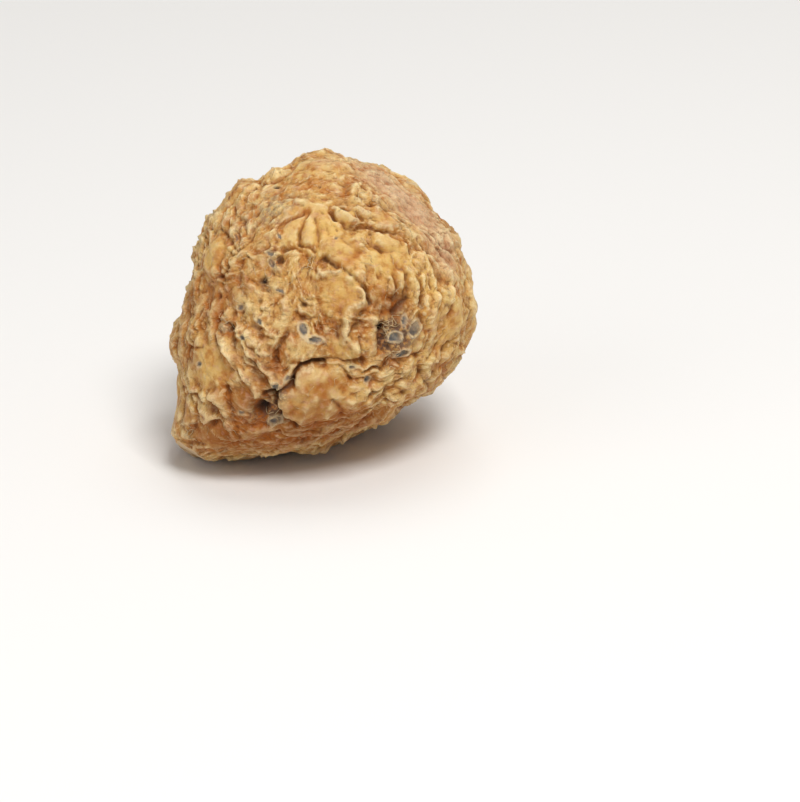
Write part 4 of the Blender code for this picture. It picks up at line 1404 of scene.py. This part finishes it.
class Paints:
    """A material's node tree, built up one layer of paint at a time. Lengths are in mm."""

    BEND_SIZE = 1.4
    BEND = 1.8

    def __init__(self, name: str, base: str) -> None:
        """Starts a material with coordinates in mm and one even paint.

        Args:
            name: The material's name.
            base: The paint.
        """
        self.material = bpy.data.materials.new(name)
        self.material.use_nodes = True
        self.nodes = self.material.node_tree.nodes
        self.links = self.material.node_tree.links
        self.shader = self.nodes["Principled BSDF"]
        place = self.nodes.new("ShaderNodeTexCoord")
        scale = self.nodes.new("ShaderNodeMapping")
        scale.inputs["Scale"].default_value = (1.0 / MM, 1.0 / MM, 1.0 / MM)
        self.links.new(place.outputs["Object"], scale.inputs["Vector"])
        self.place = scale.outputs["Vector"]
        self.colour = linear(base)

    def set(self, socket: Socket, value: object) -> None:
        """Links a socket to another's output, or gives it a constant."""
        if isinstance(value, Socket):
            self.links.new(value, socket)
        else:
            socket.default_value = value

    def noise(self, size: float, detail: float = 3.0, roughness: float = 0.55) -> Socket:
        """Returns noise whose waves are about so many mm long."""
        node = self.nodes.new("ShaderNodeTexNoise")
        node.inputs["Scale"].default_value = 1.0 / size
        node.inputs["Detail"].default_value = detail
        node.inputs["Roughness"].default_value = roughness
        self.links.new(self.place, node.inputs["Vector"])
        return node.outputs["Fac"]

    def streaks(self, width: float, length: float) -> Socket:
        """Returns noise drawn out along the grain, so many mm wide and long."""
        node = self.nodes.new("ShaderNodeTexNoise")
        node.noise_dimensions = "4D"
        node.inputs["Scale"].default_value = 1.0 / length
        node.inputs["Detail"].default_value = 2.0
        self.links.new(self.place, node.inputs["Vector"])
        bend = self.times(self.noise(self.BEND_SIZE, 2.0), self.BEND)
        bent = self.sum(Sum.ADD, self.mask("across"), bend)
        self.links.new(self.times(bent, 1.0 / width), node.inputs["W"])
        return node.outputs["Fac"]

    def threads(self, width: float, length: float, thickness: float) -> Socket:
        """Returns thin winding lines along the grain, where drawn-out noise crosses its middle.

        Args:
            width: How far apart they are in mm.
            length: How long in mm.
            thickness: How thick, as a share of the noise's range.

        Returns:
            1 on the lines.
        """
        middle = self.sum(Sum.SUBTRACT, self.streaks(width, length), 0.5)
        return self.span(self.sum(Sum.ABSOLUTE, middle, 0.0), thickness, 0.0)

    def mask(self, name: str) -> Socket:
        """Returns a mask that the mesh carries."""
        node = self.nodes.new("ShaderNodeAttribute")
        node.attribute_name = name
        return node.outputs["Fac"]

    def span(self, value: Socket, low: float, high: float,
             first: float = 0.0, last: float = 1.0) -> Socket:
        """Returns a value stretched smoothly from one range to another."""
        node = self.nodes.new("ShaderNodeMapRange")
        node.interpolation_type = "SMOOTHSTEP"
        ends = {"From Min": low, "From Max": high, "To Min": first, "To Max": last}
        for name, number in ends.items():
            node.inputs[name].default_value = number
        self.links.new(value, node.inputs["Value"])
        return node.outputs["Result"]

    def sum(self, how: Sum, first: Socket | float, second: Socket | float) -> Socket:
        """Returns two numbers put together."""
        node = self.nodes.new("ShaderNodeMath")
        node.operation = how.value
        self.set(node.inputs[0], first)
        self.set(node.inputs[1], second)
        return node.outputs[0]

    def times(self, first: Socket | float, *others: Socket | float) -> Socket | float:
        """Returns the product of some numbers."""
        for other in others:
            first = self.sum(Sum.MULTIPLY, first, other)
        return first

    def over(self, under: object, paint: object, share: Socket | float) -> Socket:
        """Returns one paint laid over another to some share."""
        node = self.nodes.new("ShaderNodeMix")
        node.data_type = "RGBA"
        self.set(node.inputs[0], share)
        self.set(node.inputs[6], under)
        self.set(node.inputs[7], paint)
        return node.outputs[2]

    def coat(self, paint: str | Socket, *shares: Socket | float) -> None:
        """Lays a paint over the colour so far, to the product of some shares."""
        top = linear(paint) if isinstance(paint, str) else paint
        self.colour = self.over(self.colour, top, self.times(*shares))

    def finish(self, **inputs: object) -> bpy.types.Material:
        """Gives the shader its colour and other inputs, such as Roughness, and ends the material.

        Args:
            **inputs: Values by the shader's own names, with _ for a space.

        Returns:
            The material.
        """
        self.set(self.shader.inputs["Base Color"], self.colour)
        for name, value in inputs.items():
            self.set(self.shader.inputs[name.replace("_", " ")], value)
        return self.material

    def bump(self, height: Socket, distance: float, strength: float) -> None:
        """Raises the surface by a fine height, in mm."""
        node = self.nodes.new("ShaderNodeBump")
        node.inputs["Distance"].default_value = distance * MM
        node.inputs["Strength"].default_value = strength
        self.links.new(height, node.inputs["Height"])
        self.links.new(node.outputs["Normal"], self.shader.inputs["Normal"])


@dataclass(frozen=True)
class SkinFinish:
    """Dry ochre skin: pale crests with painted highlights, orange-brown creases and dark pits with
    painted shade, slate scars with a painted shadow on one side.

    Depths are in mm.
    """

    gold: str = "d0a560"
    ochre: str = "bd8240"
    straw: str = "d8ba7e"
    honey: str = "dcb262"
    tan: str = "cfab88"
    rust_and_shade: str = "94500c"
    cream: str = "efdcac"
    amber: str = "a25612"
    crease: str = "6a340a"
    soil: str = "634839"
    painted_recess_shade: str = "2c1a10"
    grey: str = "aa9874"
    rose: str = "c8997a"
    slate: str = "74736c"
    ash: str = "968774"
    shadow: str = "46484c"
    rim: str = "c8b391"
    flesh: str = "cdb28c"
    roughness: float = 0.52
    specular: float = 0.17
    glow: float = 0.12
    glow_depth: float = 0.8
    glow_reach: Way = (1.0, 0.5, 0.2)
    grain_depth: float = 0.15
    grain_strength: float = 0.8

    def material(self) -> bpy.types.Material:
        """Lays the paints on from the broad tints to the scars, and raises the finest grain.

        Returns:
            The material.
        """
        paints = Paints("dried_skin", self.gold)
        worn = paints.span(paints.mask("worn"), 0.2, 0.9, 0.25)
        rust_and_shade = paints.times(paints.mask("rust_and_shade"), paints.span(paints.noise(1.6), 0.3, 0.52, 0.5))
        pale = paints.sum(Sum.SUBTRACT, 1.0, paints.times(rust_and_shade, 0.65))
        self.tint(paints, rust_and_shade)
        self.paint_fold_shade_and_highlights(paints, pale)
        self.draw_grain(paints, worn, pale)
        self.mark(paints)
        return paints.finish(
            Roughness=self.roughness, Specular_IOR_Level=self.specular,
            Subsurface_Weight=self.glow, Subsurface_Radius=self.glow_reach,
            Subsurface_Scale=self.glow_depth * MM)

    def tint(self, paints: Paints, rust_and_shade: Socket) -> None:
        """Lays on the broad patches of other tints.

        Args:
            paints: The paints so far.
            rust_and_shade: The share of rust-brown paint, partly painted shade at the bottom.
        """
        patches = paints.noise(2.6, 3.0, 0.6)
        paints.coat(self.ochre, paints.span(patches, 0.42, 0.66))
        paints.coat(self.straw, paints.span(patches, 0.5, 0.3, 0.0, 0.8))
        paints.coat(self.honey, paints.mask("honey"), 0.7)
        paints.coat(self.tan, paints.mask("tan"), 0.85)
        # Rust-brown tint, which along the bottom and over the low pad is also painted shade.
        paints.coat(self.rust_and_shade, rust_and_shade)
        paints.coat(self.grey, paints.mask("grey"), paints.span(paints.noise(0.8, 2.0), 0.4, 0.6))
        paints.coat(self.rose, paints.span(paints.noise(1.0, 2.0), 0.54, 0.7, 0.0, 0.45))
        paints.coat(self.amber, paints.span(paints.noise(1.3), 0.5, 0.68, 0.0, 0.45))

    def paint_fold_shade_and_highlights(self, paints: Paints, pale: Socket) -> None:
        """Paints shade into the lows and highlights onto the highs, first broadly and then finely.

        Args:
            paints: The paints so far.
            pale: The share that the rust-brown paint leaves to the painted highlights.
        """
        broad = paints.mask("broad")
        fine = paints.mask("fine")
        warm = paints.sum(Sum.ADD, 0.35, paints.times(paints.mask("rust_and_shade"), 0.5))
        # Painted shade in the broad hollows: amber, then dark brown in the deepest.
        paints.coat(self.amber, paints.span(broad, 0.06, -0.22), warm)
        paints.coat(self.crease, paints.span(broad, -0.15, -0.42, 0.0, 0.35))
        # Painted highlight on the broad crests.
        paints.coat(self.cream, paints.span(broad, 0.03, 0.26, 0.0, 0.2), pale)
        # Painted shade in the fine creases, then painted highlight on the fine crests.
        paints.coat(self.crease, paints.span(fine, -0.01, -0.14, 0.0, 0.55))
        paints.coat(self.cream, paints.span(fine, 0.02, 0.12, 0.0, 0.48), pale)

    def draw_grain(self, paints: Paints, worn: Socket, pale: Socket) -> None:
        """Draws the finest slits, threads, streaks and specks, and raises them.

        Args:
            paints: The paints so far.
            worn: How wrinkled the skin is.
            pale: The share that the rust-brown paint leaves to the pale paints.
        """
        streak = paints.streaks(0.3, 0.8)
        speck = paints.noise(0.2, 3.0, 0.6)
        breaks = paints.noise(1.7, 1.0)
        slit = paints.times(paints.threads(1.1, 2.6, 0.035), paints.span(breaks, 0.44, 0.6), worn)
        thread = paints.times(
            paints.threads(0.62, 2.0, 0.075), paints.span(breaks, 0.56, 0.4), worn)
        paints.coat(self.crease, slit, 0.35)
        paints.coat(self.cream, thread, 0.12)
        paints.coat(self.crease, paints.span(streak, 0.46, 0.3, 0.0, 0.3), worn)
        paints.coat(self.cream, paints.span(streak, 0.54, 0.7, 0.0, 0.3), worn, pale)
        paints.coat(self.rust_and_shade, paints.span(speck, 0.48, 0.3, 0.0, 0.35), worn)
        rough = paints.sum(Sum.ADD, paints.times(streak, 0.5), paints.times(speck, 0.8))
        rough = paints.sum(Sum.SUBTRACT, rough, paints.times(slit, 0.8))
        rough = paints.sum(Sum.ADD, rough, paints.times(thread, 0.35))
        paints.bump(rough, self.grain_depth, self.grain_strength)

    def mark(self, paints: Paints) -> None:
        """Lays on soil, painted shade in pits and creases, scars with a painted shadow, and the
        bare flesh of the crown and the stub.

        Args:
            paints: The paints so far.
        """
        specks = paints.span(paints.noise(0.35, 4.0, 0.7), 0.52, 0.62)
        paints.coat(self.soil, paints.mask("tan"), specks, 0.35)
        paints.coat(self.soil, paints.mask("soil"), paints.span(paints.noise(0.5), 0.4, 0.56))
        # Painted shade in the pits and the deepest creases.
        paints.coat(self.painted_recess_shade, paints.mask("painted_recess_shade"))
        mottle = paints.span(paints.noise(0.4, 3.0, 0.6), 0.36, 0.62)
        discs = paints.over(linear(self.slate), linear(self.ash), mottle)
        paints.coat(discs, paints.mask("scar"))
        # Painted shadow on one side of each scar disc.
        paints.coat(self.shadow, paints.mask("painted_scar_shadow"), 0.8)
        paints.coat(self.rim, paints.mask("rim"))
        paints.coat(self.flesh, paints.mask("cut"))


@dataclass(frozen=True)
class RootletFinish:
    """Pale dry fibres."""

    straw: str = "d2ba90"
    shade: str = "9c7a4a"
    roughness: float = 0.7

    def material(self) -> bpy.types.Material:
        """Returns straw fibres with darker stretches."""
        paints = Paints("dry_rootlets", self.straw)
        paints.coat(self.shade, paints.span(paints.noise(0.8), 0.35, 0.7))
        return paints.finish(Roughness=self.roughness)


class Ground:
    """The skin's distance from the heart in any direction."""

    def __init__(self, skin: bpy.types.Object) -> None:
        """Sorts the skin's faces.

        Args:
            skin: The skin.
        """
        self.tree = BVHTree.FromObject(skin, bpy.context.evaluated_depsgraph_get())

    def __call__(self, directions: Array) -> Array:
        """Returns how far rays from the heart run to the skin."""
        heart = (HEART * MM).tolist()
        return np.array([self.tree.ray_cast(heart, ray)[3] for ray in directions.tolist()]) / MM


@dataclass(frozen=True)
class Habit:
    """How a kind of rootlet grows, in mm: its length, its sway and the height of its arch.

    A pair is the least and greatest that may be drawn, and lift shares are of the greatest height.
    """

    lengths: Span
    sways: Span
    lift: float
    swings: Span = (3.0, 8.0)
    phases: Span = (0.0, 6.0)
    lift_shares: Span = (0.3, 1.0)


@dataclass
class Rootlets:
    """Fine dry rootlets: small tangles on the front and loose fibres all over. Lengths in mm."""

    body: PlainBody
    seed: int = 23
    tangled: Habit = Habit((1.0, 2.4), (0.2, 0.5), 0.45)
    tangled_radius: float = 0.055
    loose: Habit = Habit((0.7, 2.6), (0.05, 0.3), 0.14)
    loose_radii: Span = (0.028, 0.045)
    loose_count: int = 260
    loose_jitter: float = 0.9
    loose_turn: float = 0.5
    lowest: float = 0.82
    fewest_steps: int = 12
    steps_per_sway: float = 6.0
    sunk: float = 0.02
    taper: float = 0.75
    sides: int = 5

    def build(self, skin: bpy.types.Object) -> bpy.types.Object:
        """Makes all rootlets as one mesh of closed, tapering tubes.

        Args:
            skin: The skin that they grow from.

        Returns:
            The piece.
        """
        generator = np.random.default_rng(self.seed)
        ground = Ground(skin)
        tubes = [*self.tangles(ground, generator), *self.loose_fibres(ground, generator)]
        first = 0
        faces = []
        for points, quads, ends in tubes:
            faces += [*(quads + first).tolist(), *(ends + first).tolist()]
            first += len(points)
        points = np.concatenate([points for points, _, _ in tubes])
        return new_piece("rootlets", points, faces, RootletFinish().material())

    def tangles(self, ground: "Ground",
                generator: np.random.Generator) -> Iterator[tuple[Array, Array, Array]]:
        """Grows the small tangles on the front.

        Args:
            ground: The skin.
            generator: Draws the rootlets.

        Yields:
            The points, sides and ends of each tube.
        """
        for right, up, spread, count in TANGLES:
            middle = self.body.on_front([(right, up)])[0]
            for _ in range(int(count)):
                offset = along_skin(generator.normal(size=(1, 3)), middle[None])[0]
                start = middle + offset * spread * generator.random()
                run = along_skin(generator.normal(size=(1, 3)), start[None])[0]
                path = self.route(start, run, self.tangled, ground, generator)
                yield self.tube(path, self.tangled_radius)

    def loose_fibres(self, ground: "Ground",
                     generator: np.random.Generator) -> Iterator[tuple[Array, Array, Array]]:
        """Grows the loose fibres that lie along the grain on every side but the lowest.

        Args:
            ground: The skin.
            generator: Draws the fibres.

        Yields:
            The points, sides and ends of each tube.
        """
        starts = self.body.on_all_sides(self.loose_count, self.loose_jitter, generator)
        starts = starts[unit(starts) @ DOWN < self.lowest]
        for start, run in zip(starts, Grain(self.body)(starts)):
            run = run + self.loose_turn * generator.normal(size=3)
            run = along_skin(run[None], start[None])[0]
            path = self.route(start, run, self.loose, ground, generator)
            yield self.tube(path, generator.uniform(*self.loose_radii))

    def route(self, start: Array, run: Array, habit: Habit, ground: "Ground",
              generator: np.random.Generator) -> Array:
        """Draws one rootlet: it leaves the skin, sways, arches and comes back down.

        The path is start + run * t + side * sway * sin(w t + p), then set on the skin and lifted by
        lift * sin(pi t) ** 0.8.

        Args:
            start: Where it leaves the skin.
            run: The way that it runs.
            habit: How it grows.
            ground: The skin.
            generator: Draws its turns.

        Returns:
            Points along it.
        """
        side = np.cross(unit(start), run)
        length = generator.uniform(*habit.lengths)
        sway = generator.uniform(*habit.sways)
        swing = generator.uniform(*habit.swings)
        phase = generator.uniform(*habit.phases)
        arch = habit.lift * generator.uniform(*habit.lift_shares)
        steps = self.fewest_steps + int(self.steps_per_sway * sway * swing)
        t = np.linspace(0.0, 1.0, steps)
        aside = sway * np.sin(swing * t + phase)
        path = start + (t * length)[:, None] * run + aside[:, None] * side
        height = ground(unit(path))
        height = np.convolve(np.pad(height, 1, mode="edge"), (0.25, 0.5, 0.25), "valid")
        return unit(path) * (height + arch * np.sin(math.pi * t) ** 0.8 - self.sunk)[:, None]

    def tube(self, path: Array, radius: float) -> tuple[Array, Array, Array]:
        """Carries a ring of a few sides along a path, tapering toward its far end.

        Args:
            path: Points along the middle.
            radius: The radius at its near end.

        Returns:
            The tube's points, its sides' four corners each, and its two ends' corners.
        """
        tangent = unit(np.gradient(path, axis=0))
        side = unit(np.cross(tangent, unit(path)))
        normal = np.cross(side, tangent)
        t = np.linspace(0.0, 1.0, len(path))
        thick = radius * (1.0 - self.taper * t ** 2)
        turn = (np.arange(self.sides) * 2.0 * math.pi / self.sides)[None, :, None]
        ring = np.cos(turn) * side[:, None] + np.sin(turn) * normal[:, None]
        points = (path[:, None] + thick[:, None, None] * ring).reshape(-1, 3)
        here = np.arange((len(path) - 1) * self.sides)
        beside = here - here % self.sides + (here + 1) % self.sides
        quads = np.stack([here, here + self.sides, beside + self.sides, beside], axis=1)
        near_end = np.arange(self.sides)
        return points, quads, np.stack([near_end, len(here) + near_end[::-1]])


@dataclass(frozen=True)
class Lamp:
    """A square soft light, its place and edge in metres and its power in watts."""

    name: str
    offset: Way
    edge: float
    power: float

    def hang(self, heart: Array) -> None:
        """Hangs the light at its offset from the heart, which it faces.

        Args:
            heart: The root's heart.
        """
        light = bpy.data.lights.new(self.name, "AREA")
        light.size = self.edge
        light.energy = self.power
        lamp = bpy.data.objects.new(self.name, light)
        lamp.matrix_world = facing(heart + np.array(self.offset), heart)
        bpy.context.scene.collection.objects.link(lamp)


@dataclass
class Studio:
    """A pale floor, soft lights and the camera. Lens and sensor are in mm, the rest in metres."""

    distance: float = 0.70
    lens: float = 220.5
    sensor: float = 36.0
    nearest: float = 0.01
    aim_right: float = 0.01071
    aim_up: float = -0.01329
    floor_size: float = 3.0
    floor_paint: str = "eceae7"
    floor_roughness: float = 0.9
    sky_colour: tuple[float, float, float, float] = (1.0, 0.99, 0.975, 1.0)
    sky_strength: float = 0.32
    lamps: tuple[Lamp, ...] = (
        Lamp("key_light", (0.18, -0.38, 0.70), 0.30, 5.0),
        Lamp("fill_light", (-0.60, -0.45, 0.35), 0.60, 1.0),
        Lamp("top_light", (0.10, 0.25, 0.75), 0.50, 1.7),
    )

    def build(self) -> None:
        """Sets up the floor, the world, the lights and the camera."""
        self.floor()
        self.world()
        heart = HEART * MM
        for lamp in self.lamps:
            lamp.hang(heart)
        self.camera(heart)
        bpy.context.scene.view_settings.view_transform = "Standard"

    def floor(self) -> None:
        """Lays a plain pale floor under the root."""
        half = self.floor_size / 2.0
        corners = [(-half, -half, 0.0), (half, -half, 0.0), (half, half, 0.0), (-half, half, 0.0)]
        mesh = bpy.data.meshes.new("floor")
        mesh.from_pydata(corners, [], [(0, 1, 2, 3)])
        paints = Paints("pale_floor", self.floor_paint)
        mesh.materials.append(paints.finish(Roughness=self.floor_roughness))
        floor = bpy.data.objects.new("floor", mesh)
        bpy.context.scene.collection.objects.link(floor)
        floor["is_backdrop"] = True

    def world(self) -> None:
        """Surrounds the scene with even, nearly white light."""
        world = bpy.data.worlds.new("studio")
        world.use_nodes = True
        sky = world.node_tree.nodes["Background"]
        sky.inputs["Color"].default_value = self.sky_colour
        sky.inputs["Strength"].default_value = self.sky_strength
        bpy.context.scene.world = world

    def camera(self, heart: Array) -> None:
        """Looks at the root along the front view, framed as in the photograph.

        Args:
            heart: The root's heart.
        """
        target = heart + self.aim_right * RIGHT + self.aim_up * UP
        data = bpy.data.cameras.new("camera")
        data.lens = self.lens
        data.sensor_width = self.sensor
        data.clip_start = self.nearest
        camera = bpy.data.objects.new("camera", data)
        camera.matrix_world = facing(target + self.distance * TOWARD, target)
        bpy.context.scene.collection.objects.link(camera)
        bpy.context.scene.camera = camera


def facing(place: Array, target: Array) -> Matrix:
    """Returns the placing of something at a place that looks at a target, upright."""
    back = unit(place - target)
    right = unit(np.cross([0.0, 0.0, 1.0], back))
    turn = np.stack([right, np.cross(back, right), back, place], axis=1)
    return Matrix([*turn.tolist(), (0.0, 0.0, 0.0, 1.0)])


def main() -> None:
    """Builds the skin, the rootlets and the studio."""
    logging.basicConfig(level=logging.INFO, format="%(message)s")
    body = PlainBody()
    skin = RootSkin(body).build()
    LOG.info("skin: %d faces", len(skin.data.polygons))
    rootlets = Rootlets(body).build(skin)
    LOG.info("rootlets: %d faces", len(rootlets.data.polygons))
    Studio().build()
    boxes = {"cad": CAD_BOX, "visual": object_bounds()}
    {name: np.asarray(box).tolist() for name, box in boxes.items()}


if __name__ == "__main__":
    main()
